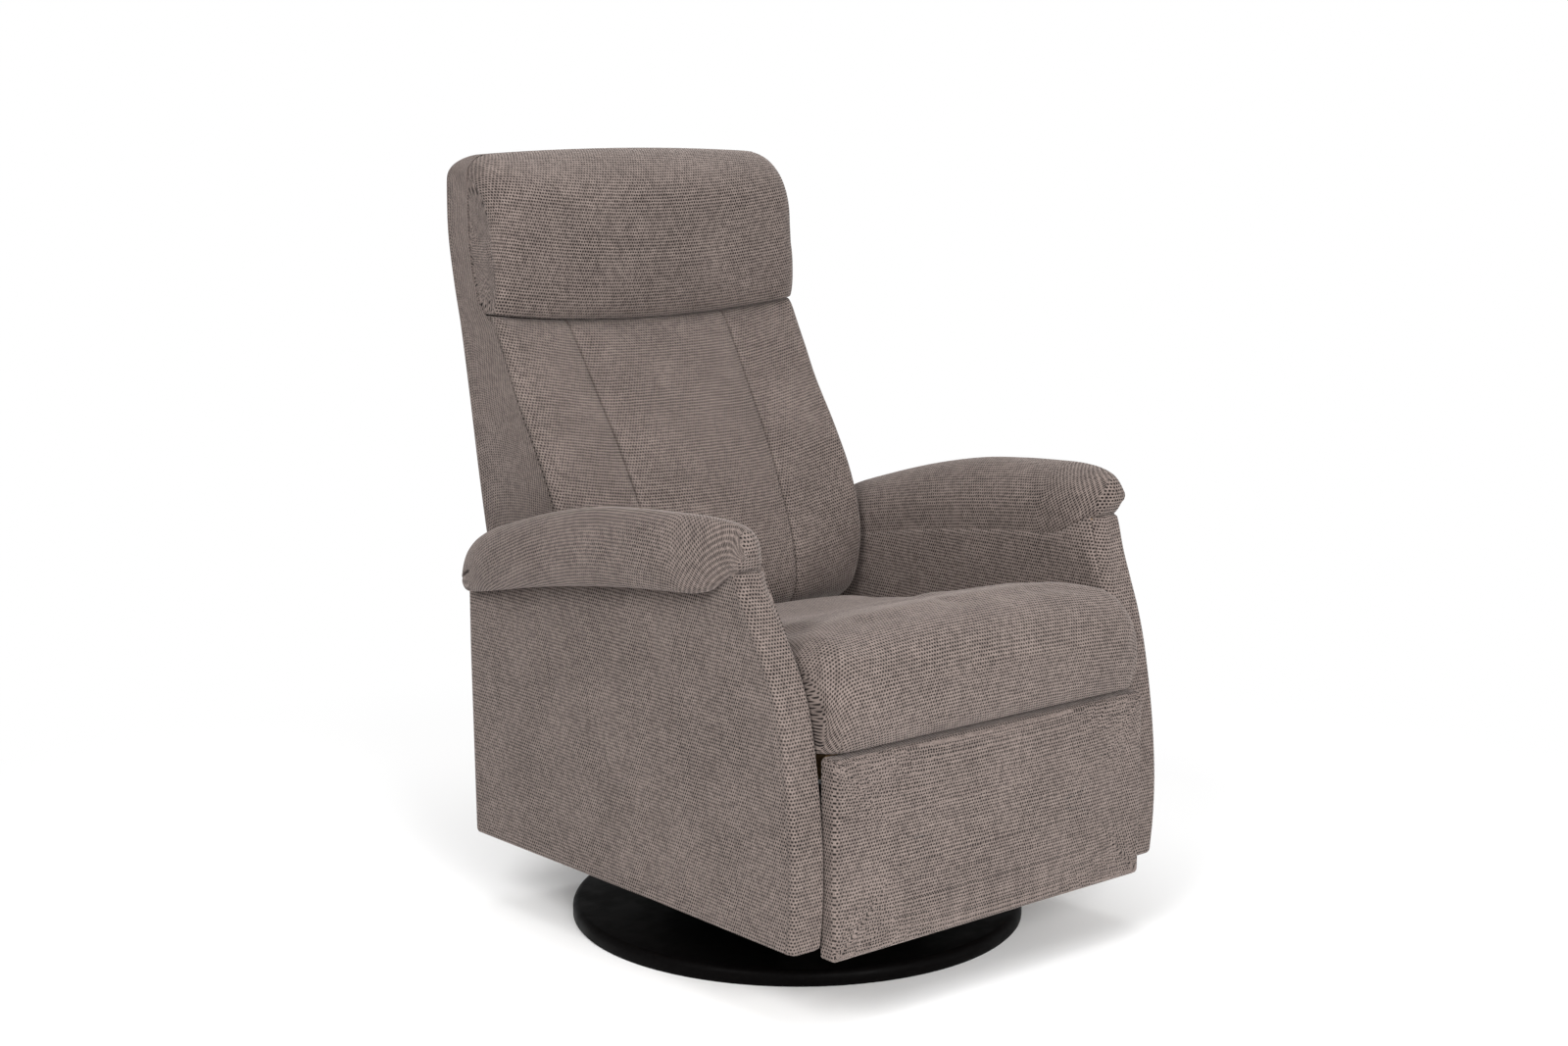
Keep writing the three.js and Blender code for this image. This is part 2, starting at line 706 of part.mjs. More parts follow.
// The underside of the arm pad, as a height at each Y place
const pad_rear_bottom_z = arm_notch_z - rear_underside_share * (arm_notch_z - arm_bottom_z) - seat_gap;
const arm_notch_y = -arm_front_reach * arm_front_shares[arm_front_shares.length - 1][1];

const pad_station_ys = pad_station_shares.map((share) => arm_rear_y - share * (arm_rear_y + arm_nose_reach));
const pad_bottom_points = pad_station_ys.filter((y) => y > arm_notch_y).concat(arm_notch_y).map((y) => [y,
  pad_rear_bottom_z + (arm_notch_z - pad_rear_bottom_z)
    * smoothShare(pad_bottom_shares, (arm_rear_y - y) / (arm_rear_y - arm_notch_y))]);

function padBottomZ(y) {
  let cell = 0;
  while (cell < pad_bottom_points.length - 2 && pad_bottom_points[cell + 1][0] > y) {
    cell += 1;
  }
  const [rear, front] = [pad_bottom_points[cell], pad_bottom_points[cell + 1]];
  return rear[1] + ((front[1] - rear[1]) * (rear[0] - y)) / (rear[0] - front[0]);
}

// The height at which a line that follows the arm's front at an inset meets a line given by its height at each Y place
function meetingHeight(lineZ, front_inset, first_guess) {
  let height = first_guess;
  for (let pass = 0; pass < meeting_passes; pass += 1) {
    height = lineZ(armFrontY(height) + front_inset);
  }
  return height;
}

// An arm layer between its bottom, its rear edge, the pad's underside and the front edge
function armLayerShape(bottom, rear_y, front_inset, top_inset) {
  const front_low = meetingHeight(bottom, front_inset, bottom(0));
  const front_top = meetingHeight((y) => padBottomZ(y) - top_inset, front_inset, arm_notch_z);
  const front = armFrontHeights(front_low, front_top).map((z) => [armFrontY(z) + front_inset, z]);
  const top_front_y = front[front.length - 1][0];
  const top = pad_station_ys.filter((y) => y > top_front_y + seat_gap && y < rear_y - seat_gap).map((y) => [y,
    padBottomZ(y) - top_inset]);
  return shapeOf([[rear_y, bottom(rear_y)], [rear_y, padBottomZ(rear_y) - top_inset], ...top,
    ...front.reverse()]);
}

const seat_slope = THREE.MathUtils.degToRad(seat_slope_deg);

// A point of the YZ plane from a place along the sloping seat, positive to the rear, and a height above it
function slopePoint(along, above) {
  return [along * Math.cos(seat_slope) + above * Math.sin(seat_slope),
    seat_plane_z - along * Math.sin(seat_slope) + above * Math.cos(seat_slope)];
}

function seatPlaneZ(y) {
  return seat_plane_z - y * Math.tan(seat_slope);
}

const crest_x_share = (arm_pad_crest_x - arm_inner_x) / (arm_pad_outer_x - arm_inner_x);

// One ring of the arm pad in the XZ plane at a share of its length from the rear end
function padRing(share) {
  const y = arm_rear_y - share * (arm_rear_y + arm_nose_reach);
  const crest = arm_bottom_z + (arm_crest_z - arm_bottom_z) * (1 - pad_low_share * (1 - smoothShare(pad_crest_shares, share)));
  const nose_lift = Math.max(0, arm_notch_y - y) / (arm_nose_reach + arm_notch_y);
  const bottom = padBottomZ(Math.max(y, arm_notch_y))
    + nose_lift * (crest - padBottomZ(arm_notch_y)) * nose_lift_share;
  const outer = arm_outer_x + (arm_pad_outer_x - arm_outer_x) * smoothShare(pad_outer_shares, share);
  const height = crest - bottom;
  const crest_x = arm_inner_x + (outer - arm_inner_x) * crest_x_share;
  const inner_x = arm_inner_x + (crest_x - arm_inner_x) * smoothShare(pad_inner_shares, share);
  const inner_drop = height * inner_drop_share;
  const belly_z = bottom + height * belly_share;
  const inner_arc = span(0, Math.PI / 2, 6).map((angle) => [
    crest_x - (crest_x - inner_x) * Math.cos(angle),
      crest - inner_drop + inner_drop * Math.sin(angle)]);
  const outer_arc = span(Math.PI / 2, 0, 7).slice(1).map((angle) => [
    crest_x + (outer - crest_x) * Math.cos(angle), belly_z + (crest - belly_z) * Math.sin(angle)]);
  const tuck = Math.min(outer - crest_x, belly_z - bottom);
  const under_arc = span(0, Math.PI / 2, 5).slice(1).map((angle) => [
    outer - tuck * tuck_share * (1 - Math.cos(angle)), belly_z - (belly_z - bottom) * Math.sin(angle)]);
  return [[inner_x, bottom], ...inner_arc, ...outer_arc, ...under_arc];
}

function buildArms() {
  const flat_bottom = (z) => () => z;
  const sloping_bottom = (y) => seatPlaneZ(y) - arm_cover_drop;
  const cover_thick = board_inner_x - arm_inner_x - seat_gap;
  const band_inset = arm_band_thick + seat_gap;
  for (const [name, side] of sides) {
    const board = armLayerShape(flat_bottom(arm_bottom_z + arm_board_inset),
      arm_rear_y - arm_board_inset, band_inset, seat_gap);
    addPiece(`arm_board_${name}`, sidePlate(board, side, board_inner_x, arm_board_thick), plywood);
    const outer = armLayerShape(flat_bottom(arm_bottom_z), arm_rear_y, band_inset, seat_gap);
    addPiece(`arm_outer_cover_${name}`, sidePlate(outer, side,
      board_inner_x + arm_board_thick + seat_gap, cover_thick), fabric);
    const inner = armLayerShape(sloping_bottom, arm_rear_y, band_inset, seat_gap);
    addPiece(`arm_inner_cover_${name}`, sidePlate(inner, side, arm_inner_x, cover_thick), fabric);
    const inner_top = meetingHeight((y) => padBottomZ(y) - seat_gap, arm_band_thick, arm_notch_z);
    const outer_heights = armFrontHeights(arm_bottom_z, arm_notch_z - seat_gap);
    const inner_heights = armFrontHeights(arm_bottom_z, inner_top);
    const band = shapeOf([...outer_heights.map((z) => [armFrontY(z), z]).reverse(),
      ...inner_heights.map((z) => [armFrontY(z) + arm_band_thick, z])]);
    addPiece(`arm_front_band_${name}`, sidePlate(band, side, arm_inner_x, arm_outer_x - arm_inner_x),
      fabric);
    const pad = loft(pad_station_shares, padRing, (share, x, z) => [
      side * x, arm_rear_y - share * (arm_rear_y + arm_nose_reach), z]);
    addPiece(`arm_pad_${name}`, pad, fabric);
  }
}

// Slide track on the arm board's inner face: a channel open towards the seat
function buildTracks() {
  const outer_x = board_inner_x - seat_gap;
  const inner_x = outer_x - track_depth;
  const outline = (half, front, rear) => shapeOf([slopePoint(-front, -track_drop - half),
    slopePoint(rear, -track_drop - half),
    slopePoint(rear, -track_drop + half), slopePoint(-front, -track_drop + half)]);
  for (const [name, side] of sides) {
    const body = sidePlate(outline(track_height / 2, track_front, track_rear), side, inner_x,
      track_depth);
    const slot = sidePlate(outline(track_height / 2 - track_wall, track_front + cut_overrun,
      track_rear + cut_overrun), side,
      inner_x - cut_overrun, track_depth - track_wall + cut_overrun);
    addPiece(`seat_track_${name}`, combine([body], [slot]), zinc_steel);
  }
}

function buildSkirt() {
  const half = arm_inner_x - washer_gap;
  const wide = board_inner_x - seat_gap;
  const main = block([-wide, wide], [skirt_rear_y - skirt_thick, skirt_rear_y],
    [skirt_bottom_z, skirt_top_z]);
  const notch = [-1, 1].map((side) => sideBlock(side, [half, wide + cut_overrun],
    [skirt_rear_y - skirt_thick - cut_overrun, skirt_rear_y + cut_overrun],
    [seatPlaneZ(skirt_rear_y) - arm_cover_drop - washer_gap, skirt_top_z + cut_overrun]));
  addPiece("rear_skirt", combine([main], notch), fabric);
}

// Footrest linkage pivots in the YZ plane
const crank_rest = THREE.MathUtils.degToRad(crank_rest_deg);
const crank_way = [-Math.cos(crank_rest), Math.sin(crank_rest)];
const front_crank_pivot = [-crank_pivot_reach, crank_pivot_z];
const lift_joint = along(front_crank_pivot, crank_way, crank_length);
const guide_joint = along(front_crank_pivot, crank_way, crank_length + crank_offset);
const board_pivot = [-board_rear_reach + board_pivot_setback, board_top_z - board_pivot_drop];
const guide_pivot = along(board_pivot, crank_way, crank_offset);
const lift_way = unit([lift_joint[0] - board_pivot[0], lift_joint[1] - board_pivot[1]]);
const lift_tail = along(lift_joint, lift_way, crank_offset);
const rear_crank_pivot = along(lift_tail, crank_way, -crank_length);

function along(point, way, distance) {
  return [point[0] + way[0] * distance, point[1] + way[1] * distance];
}

function unit(way) {
  const length = Math.hypot(way[0], way[1]);
  return [way[0] / length, way[1] / length];
}

// A rivet that stands inwards from a link or plate, through the hole of the next link
function inwardPin(side, root_x, link_x, point, pin_radius, head_radius, head) {
  const near = link_x + footrest_link_thick + seat_gap;
  const far = link_x - seat_gap;
  return sidePin([[far - head, head_radius], [far, pin_radius], [near, head_radius], [root_x, 0]],
    side, point[0], point[1]);
}

// Mechanism plate: bolted to the seat rail, it carries the footrest cranks, the back pivot and the slide shoes
function mechanismPlateShape() {
  const lobe = plate_lobe_radius;
  const low = -seat_rail_height;
  const shape = new THREE.Shape();
  const corner = slopePoint(-plate_front, 0);
  shape.moveTo(corner[0], corner[1]);
  const front_low = slopePoint(-plate_front, low);
  shape.lineTo(front_low[0], front_low[1]);
  shape.lineTo(front_crank_pivot[0] - lobe, front_crank_pivot[1]);
  shape.absarc(front_crank_pivot[0], front_crank_pivot[1], lobe, Math.PI, Math.PI * 1.35, false);
  shape.absarc(rear_crank_pivot[0], rear_crank_pivot[1], lobe, Math.PI * 1.25, Math.PI * 1.9, false);
  const waist = slopePoint(-crank_pivot_reach / 2, low);
  shape.quadraticCurveTo(rear_crank_pivot[0] + lobe * plate_waist_share, waist[1], waist[0], waist[1]);
  const rear_low = slopePoint(seat_rail_rear, low + lobe / 2);
  shape.lineTo(rear_low[0], rear_low[1]);
  shape.lineTo(back_pivot_y + lobe, back_pivot_z - lobe);
  shape.absarc(back_pivot_y, back_pivot_z, lobe, -Math.PI / 6, Math.PI * 0.85, false);
  const shoulder = slopePoint(seat_rail_rear - lobe * plate_shoulder_share, 0);
  shape.quadraticCurveTo(back_pivot_y - lobe * plate_neck_share, shoulder[1] + lobe, shoulder[0],
    shoulder[1]);
  shape.closePath();
  return shape;
}

function slopeBlockShape(rear, front, top, bottom) {
  return shapeOf([slopePoint(-front, bottom), slopePoint(rear, bottom), slopePoint(rear, top),
    slopePoint(-front, top)]);
}

function buildSeatFrame() {
  const rail_inner_x = seat_rail_outer_x - seat_rail_width;
  for (const [name, side] of sides) {
    const rail = slopeBlockShape(seat_rail_rear, seat_rail_front, 0, -seat_rail_height);
    addPiece(`seat_side_rail_${name}`, sidePlate(rail, side, rail_inner_x, seat_rail_width), plywood);
    const shoe_half = track_height / 2 - track_wall - shoe_clearance;
    const shoe_reach = board_inner_x - seat_gap - track_wall - shoe_clearance;
    const plate_outer_x = plate_inner_x + plate_thick;
    const shoes = [-shoe_front, shoe_rear].map((middle) => sidePlate(
      slopeBlockShape(middle + shoe_length / 2, -middle + shoe_length / 2, -track_drop + shoe_half,
        -track_drop - shoe_half),
      side, plate_outer_x - plate_thick / 2, shoe_reach - plate_outer_x + plate_thick / 2));
    const bosses = [-crank_pivot_reach, -shoe_front, shoe_rear].map((place) => {
      const [y, z] = slopePoint(place, -boss_radius - boss_drop);
      return sidePin([[seat_rail_outer_x + seat_gap, boss_radius],
        [plate_outer_x - plate_thick / 2, 0]], side, y, z);
    });
    const link_pins = [front_crank_pivot, rear_crank_pivot].map((point) => inwardPin(side,
      plate_inner_x + plate_thick / 2, footrest_link_x, point, footrest_pin_radius,
        footrest_pin_head_radius, footrest_pin_head));
    const back_pin = sidePin([[stile_outer_x + seat_gap - pivot_head, pivot_head_radius],
      [stile_outer_x, pivot_pin_radius], [stile_outer_x + seat_gap * 2 + bracket_thick,
        pivot_head_radius],
      [plate_inner_x + plate_thick / 2, 0]], side, back_pivot_y, back_pivot_z);
    addPiece(`mechanism_plate_${name}`, combine([
      sidePlate(mechanismPlateShape(), side, plate_inner_x, plate_thick, round_steps), ...shoes,
        ...bosses, ...link_pins, back_pin]),
    black_steel);
  }
  const cross_half = rail_inner_x - seat_gap;
  const front = slopeBlockShape(-seat_rail_front + seat_cross_width, seat_rail_front, 0,
    -seat_rail_height);
  addPiece("seat_front_rail", plate(front, -cross_half, cross_half * 2), plywood);
  const rear = slopeBlockShape(seat_rail_rear, -seat_rail_rear + seat_cross_width, 0,
    -seat_rail_height);
  addPiece("seat_rear_rail", plate(rear, -cross_half, cross_half * 2), plywood);
}

// Sinuous seat springs: bars across the spring joined by round turns, lying on both cross rails
function buildSprings() {
  const above = spring_wire_radius + seat_gap;
  const start = -seat_rail_front + seat_cross_width / 2;
  const end = seat_rail_rear - seat_cross_width / 2;
  const bars = Math.max(spring_least_bars, Math.round((end - start) / spring_pitch));
  const pitch = (end - start) / bars;
  const turn_radius = pitch / 2;
  const half = spring_swing / 2;
  const path = [];
  for (let bar = 0; bar <= bars; bar += 1) {
    const way = bar % 2 === 0 ? 1 : -1;
    const place = start + bar * pitch;
    path.push([-way * half * (bar === 0 ? spring_end_share : 1), place]);
    path.push([way * half * (bar === bars ? spring_end_share : 1), place]);
    if (bar < bars) {
      for (const angle of span(-Math.PI / 2, Math.PI / 2, 5).slice(1, -1)) {
        path.push([way * (half + turn_radius * spring_turn_share * Math.cos(angle)),
          place + turn_radius + turn_radius * Math.sin(angle)]);
      }
    }
  }
  spring_place_shares.forEach((place, index) => {
    addPiece(`seat_spring_${index + 1}`, wireInPlane(path, place * spring_spread, above), spring_steel);
  });
}

// A round wire along a path in the seat plane
function wireInPlane(path, x_shift, above) {
  const sides_count = 5;
  const indices = path.map((_, index) => index);
  const ring = span(0, Math.PI * 2, sides_count + 1).slice(0, -1).map((angle) => [
    spring_wire_radius * Math.cos(angle), spring_wire_radius * Math.sin(angle)]);
  return loft(indices, () => ring, (index, sideways, up) => {
    const before = path[Math.max(index - 1, 0)];
    const after = path[Math.min(index + 1, path.length - 1)];
    const way = unit([after[0] - before[0], after[1] - before[1]]);
    const x = path[index][0] + x_shift - way[1] * sideways;
    const [y, z] = slopePoint(path[index][1] + way[0] * sideways, above + up);
    return [x, y, z];
  });
}

// Seat cushion: side profiles across the seat, with a rounded nose and a crown
function seatTopZ(y) {
  const share = (seat_cushion_rear - y) / (seat_cushion_rear + seat_front_reach);
  return seat_cushion_rear_z + (seat_cushion_front_z - seat_cushion_rear_z) * smoothShare(seat_top_shares, share);
}

function seatRing(share) {
  const edge = seat_half_width * (1 - Math.abs(share));
  const inset = roundInset(edge, seat_side_radius);
  const crown = seat_cushion_crown * (1 - Math.abs(share) ** crown_power);
  const nose_radius = seat_nose_radius;
  const nose_underside = footrest_top_z + nose_footrest_gap;
  const spring_top = 2 * (spring_wire_radius + seat_gap);
  const front = seat_front_reach - inset / 2;
  const rear = seat_cushion_rear - inset / 2;
  const top_line = span(rear, -front + nose_radius, seat_top_points).map((y) => [y,
    seatTopZ(y) + crown - inset]);
  const nose_top = top_line[top_line.length - 1];
  const nose = span(0, 1, 9).slice(1).map((t) => {
    const angle = (t * Math.PI) / 2;
    return [nose_top[0] - nose_radius * Math.sin(angle),
      nose_top[1] - nose_radius * (1 - Math.cos(angle))];
  });
  const belly = span(0, 1, 5).slice(1).map((t) => [
    -front + seat_nose_tuck * t * t,
      nose_top[1] - nose_radius + (nose_underside - nose_top[1] + nose_radius) * t]);
  const under_y = span(-front + seat_nose_overhang, rear - seat_nose_tuck, 5);
  const under = under_y.map((y) => [y, seatPlaneZ(y) + spring_top + seat_gap]);
  return [...top_line, ...nose, ...belly, ...under];
}

function buildSeatCushion() {
  const place = (share, y, z) => [share * seat_half_width, y, z];
  addPiece("seat_cushion", loft(seat_across_shares, seatRing, place), fabric);
}

// Back outlines: the rear face, the plane where shell and cushions meet, and the top edge
function rearY(z) {
  return back_rear_reach * smoothShare(back_rear_shares,
    (z - back_bottom_z) / (back_top_z - back_bottom_z));
}

// The shell meets the cushions on flat strips between a few knots of height
const split_knots = split_knot_shares.map((share) => back_bottom_z + share * (back_top_z - back_bottom_z));

function splitY(z) {
  let cell = 0;
  while (cell < split_knots.length - 2 && split_knots[cell + 1] < z) {
    cell += 1;
  }
  const [low, high] = [split_knots[cell], split_knots[cell + 1]];
  const share = (z - low) / (high - low);
  return rearY(low) * (1 - share) + rearY(high) * share - back_shell_depth;
}

// The heights between two ends at which the meeting line bends, with the ends, from the top down
function splitHeights(top, bottom) {
  return [top, ...split_knots.filter((z) => z > bottom && z < top).reverse(), bottom];
}

function backTopZ(share) {
  const edge = back_half_width * (1 - Math.abs(share));
  return back_top_z - back_top_crown * share * share - roundInset(edge, back_shoulder_radius);
}

// A ring of the back's rear shell, drawn in by a wall where it is the hollow inside
function shellRing(share, wall) {
  const top = backTopZ(share) - wall;
  const radius = back_rear_edge_radius - wall / 2;
  const bottom = back_bottom_z + wall;
  const rear = span(bottom, top - radius, 12).map((z) => [rearY(z) - wall, z]);
  const start = rear[rear.length - 1];
  const front_top_y = splitY(top) + (wall > 0 ? -cut_overrun : 0);
  const arc = span(0, Math.PI / 2, 6).slice(1).map((angle) => [
    front_top_y + (start[0] - front_top_y) * Math.cos(angle), start[1] + radius * Math.sin(angle)]);
  const front = splitHeights(top, bottom).slice(1).map((z) => [splitY(z) + (wall > 0 ? -cut_overrun : 0), z]);
  return [...rear, ...arc, ...front];
}

function buildBackShell() {
  const place = (half) => (share, y, z) => [share * half, y, z];
  const outer = loft(shell_across_shares, (share) => shellRing(share, 0), place(back_half_width));
  const inner = loft(shell_across_shares, (share) => shellRing(share, back_shell_wall),
    place(back_half_width - back_shell_wall));
  addPiece("back_shell", combine([outer], [inner]), fabric);
}

// Back frame: two curved stiles, a top rail and a bottom rail inside the shell
function buildBackFrame() {
  const stile_front = (z) => splitY(z);
  const stile_rear = (z) => splitY(z) + back_shell_depth - back_shell_wall - stile_rear_clear;
  const heights = splitHeights(stile_top_z, stile_bottom_z).reverse();
  const stile = shapeOf([...heights.map((z) => [stile_front(z), z]),
    ...heights.slice().reverse().map((z) => [stile_rear(z), z])]);
  for (const [name, side] of sides) {
    addPiece(`back_stile_${name}`, sidePlate(stile, side, stile_outer_x - stile_width, stile_width),
      plywood);
  }
  const half = stile_outer_x - stile_width - seat_gap;
  for (const [name, low] of [["bottom", back_rail_low_z], ["top", stile_top_z - back_rail_height]]) {
    const middle = splitY(low + back_rail_height / 2) + washer_gap + rail_set_back;
    addPiece(`back_${name}_rail`, block([-half, half], [middle, middle + back_rail_thick],
      [low, low + back_rail_height]), plywood);
  }
}

// Recline bracket: screwed to the stile's outer face, it hangs on the mechanism plate's rear pin
function buildReclineBrackets() {
  const clear = washer_gap;
  const radius = bracket_radius;
  const front = (z) => splitY(z) + clear;
  const low_z = stile_bottom_z + bracket_low_clear;
  const shape = new THREE.Shape();
  shape.moveTo(back_pivot_y, back_pivot_z - radius);
  shape.lineTo(front(low_z), low_z);
  shape.lineTo(front(low_z) + bracket_depth, low_z);
  shape.lineTo(front(bracket_top_z) + bracket_depth, bracket_top_z);
  shape.lineTo(front(bracket_top_z), bracket_top_z);
  const knee = back_cushion_bottom_z - bracket_knee_drop;
  shape.lineTo(front(knee), knee);
  shape.lineTo(back_pivot_y, back_pivot_z + radius);
  shape.absarc(back_pivot_y, back_pivot_z, radius, Math.PI / 2, Math.PI * 1.5, false);
  const hole = new THREE.Path();
  hole.absarc(back_pivot_y, back_pivot_z, pivot_hole_radius, 0, Math.PI * 2, true);
  shape.holes.push(hole);
  for (const [name, side] of sides) {
    addPiece(`recline_bracket_${name}`, sidePlate(shape, side, stile_outer_x + seat_gap,
      bracket_thick), black_steel);
  }
}

function neckZ(share) {
  return neck_seam_z - neck_seam_sag * (1 - Math.min(1, Math.abs(share)) ** 2);
}

// How deep the two sewn panel seams pull the back's front in
function panelSeam(share, height_share) {
  const seam_x = panel_seam_bottom_x + (panel_seam_top_x - panel_seam_bottom_x) * height_share;
  const distance = Math.abs(Math.abs(share) * back_half_width - seam_x) / panel_seam_width;
  return panel_seam_depth * Math.exp(-distance * distance);
}

function backCushionRing(share) {
  const top = neckZ(share) - neck_seam_gap;
  const low = back_cushion_bottom_z + cushion_foot_rise;
  const edge = back_half_width * (1 - Math.abs(share));
  const front = span(0, 1, 20).map((t) => {
    const height_share = t ** front_spread_power;
    const z = low + (top - low) * height_share;
    const middle = smoothShare(lumbar_shares, height_share);
    const wing = smoothShare(wing_shares, height_share);
    const thick = back_cushion_thick * (middle + (wing - middle) * Math.abs(share) ** crown_power);
    const y = splitY(z) - thick + panelSeam(share, height_share);
    return [Math.min(y + roundInset(edge, cushion_edge_radius) * wing_round_share,
      splitY(z) - cushion_least_thick), z];
  });
  const seam = [[(front[front.length - 1][0] + splitY(top)) / 2, top]];
  const rear = splitHeights(top, back_cushion_bottom_z).map((z) => [splitY(z) - seat_gap, z]);
  const foot = [[(front[0][0] + splitY(low)) / 2, back_cushion_bottom_z + cushion_foot_round]];
  return [...front, ...seam, ...rear, ...foot];
}

function headrestRing(share) {
  const low = neckZ(share);
  const top = backTopZ(share);
  const edge = back_half_width * (1 - Math.abs(share));
  const inset = roundInset(edge, headrest_edge_radius);
  const radius = Math.min(headrest_top_radius, (top - low) * 0.5);
  const front = span(0, 1, 11).map((t) => {
    const z = low + (top - radius - low) * t;
    const thick = headrest_depth * smoothShare(headrest_shares, t * (1 - radius / (top - low)));
    return [splitY(z) - Math.max(thick - inset, headrest_rim), z];
  });
  const start = front[front.length - 1];
  const rear_top_y = splitY(top) - seat_gap;
  const arc = span(0, Math.PI / 2, 8).slice(1).map((angle) => [
    rear_top_y + (start[0] - rear_top_y) * Math.cos(angle),
      start[1] + (top - start[1]) * Math.sin(angle)]);
  const rear = splitHeights(top, low).slice(1).map((z) => [splitY(z) - seat_gap, z]);
  const seam = [[(front[0][0] + splitY(low)) / 2, low]];
  return [...front, ...arc, ...rear, ...seam];
}

function buildBackCushions() {
  const place = (share, y, z) => [share * back_half_width, y, z];
  addPiece("back_cushion", loft(across_shares, backCushionRing, place), fabric);
  addPiece("headrest_cushion", loft(across_shares, headrestRing, place), fabric);
}

// Footrest: cranks, links, brackets, board and pad
function buildFootrest() {
  const x = footrest_link_x;
  const thick = footrest_link_thick;
  const inner_x = x - thick - washer_gap;
  const pin_root = x + thick / 2;
  const pinAt = (side, point) => inwardPin(side, pin_root, inner_x, point, footrest_pin_radius,
    footrest_pin_head_radius,
    footrest_pin_head);
  for (const [name, side] of sides) {
    const front_crank = linkShape(front_crank_pivot, guide_joint, footrest_link_width,
      footrest_hole_radius, [front_crank_pivot]);
    addPiece(`footrest_front_crank_${name}`, combine([sidePlate(front_crank, side, x, thick),
      pinAt(side, lift_joint),
      pinAt(side, guide_joint)]), black_steel);
    const rear_crank = linkShape(rear_crank_pivot, lift_tail, footrest_link_width,
      footrest_hole_radius, [rear_crank_pivot]);
    addPiece(`footrest_rear_crank_${name}`, combine([sidePlate(rear_crank, side, x, thick),
      pinAt(side, lift_tail)]), black_steel);
    const lift = linkShape(lift_tail, board_pivot, footrest_link_width, footrest_hole_radius,
      [lift_tail, lift_joint, board_pivot]);
    addPiece(`footrest_lift_link_${name}`, sidePlate(lift, side, inner_x, thick), zinc_steel);
    const guide = linkShape(guide_joint, guide_pivot, footrest_link_width, footrest_hole_radius,
      [guide_joint, guide_pivot]);
    addPiece(`footrest_guide_link_${name}`, sidePlate(guide, side, inner_x, thick), zinc_steel);
    addPiece(`footrest_bracket_${name}`, boardBracket(side, x, thick, pinAt), black_steel);
  }
  const tube_half = x - seat_gap;
  const tube = steppedPin([[-tube_half, torque_tube_radius], [tube_half, 0]], front_crank_pivot[0],
    front_crank_pivot[1]);
  const bore = steppedPin([[-tube_half - cut_overrun, torque_tube_bore], [tube_half + cut_overrun, 0]],
    front_crank_pivot[0], front_crank_pivot[1]);
  addPiece("footrest_torque_tube", combine([tube], [bore]), zinc_steel);
  const height = board_top_z - board_bottom_z;
  const board = new THREE.ExtrudeGeometry(roundedRectangle((footrest_half_width - board_edge) * 2,
    height, board_corner),
    { depth: board_thick, bevelEnabled: false, curveSegments: round_steps / 2 });
  board.rotateX(Math.PI / 2);
  board.translate(0, -board_rear_reach, (board_top_z + board_bottom_z) / 2);
  addPiece("footrest_board", board, plywood);
  addPiece("footrest_pad", footrestPad(), fabric);
}

// Bracket on the board's rear face, with the pins of the lift link and the guide link
function boardBracket(side, x, thick, pinAt) {
  const rear_y = -board_rear_reach + seat_gap;
  const half = footrest_link_width / 2;
  const web = new THREE.Shape();
  web.moveTo(rear_y, board_pivot[1] + half * bracket_edge_share);
  web.lineTo(board_pivot[0], board_pivot[1] + half * bracket_top_share);
  web.absarc(board_pivot[0], board_pivot[1], half, Math.PI / 2, Math.PI * 0.1, true);
  web.absarc(guide_pivot[0], guide_pivot[1], half, 0, -Math.PI / 2, true);
  web.lineTo(rear_y, guide_pivot[1] - half * bracket_edge_share);
  web.closePath();
  const z = [guide_pivot[1] - half * bracket_edge_share, board_pivot[1] + half * bracket_edge_share];
  const flange = sideBlock(side, [x + thick - board_flange, x + thick],
    [rear_y, rear_y + thick * flange_thick_share], z);
  return combine([sidePlate(web, side, x, thick), flange, pinAt(side, board_pivot),
    pinAt(side, guide_pivot)]);
}

// Footrest pad: a thin crowned cushion on the board's front
function footrestPad() {
  const rear_y = -board_rear_reach - board_thick - seat_gap;
  const depth = footrest_front_reach + rear_y;
  const half_height = (footrest_top_z - footrest_bottom_z) / 2;
  const middle_z = (footrest_top_z + footrest_bottom_z) / 2;
  const ring = (share) => {
    const inset = footrest_edge_radius * (1 - Math.sqrt(1 - share * share));
    const outline = [];
    const half_x = footrest_half_width - inset;
    const half_z = half_height - inset;
    for (const angle of span(0, Math.PI * 2, pad_outline_points + 1).slice(0, -1)) {
      const [cosine, sine] = [Math.cos(angle), Math.sin(angle)];
      const stretch = 1 / Math.max(Math.abs(cosine), Math.abs(sine));
      const corner = 1 - pad_corner_share * (Math.abs(cosine * sine) * 2) ** pad_corner_power;
      outline.push([half_x * cosine * stretch * corner, half_z * sine * stretch * corner]);
    }
    return outline;
  };
  return loft(pad_depth_shares, ring, (share, x, z) => {
    const crown_x = 1 - Math.abs(x / footrest_half_width) ** pad_crown_power;
    const crown_z = 1 - Math.abs(z / half_height) ** pad_crown_power;
    return [x, rear_y - depth * share * (1 - pad_crown_share + pad_crown_share * crown_x * crown_z),
      middle_z + z];
  });
}

buildBase();
buildSwivel();
buildGlider();
buildCarriage();
buildArms();
buildTracks();
buildSkirt();
buildSeatFrame();
buildSprings();
buildSeatCushion();
buildBackShell();
buildBackFrame();
buildReclineBrackets();
buildBackCushions();
buildFootrest();

export default recliner;
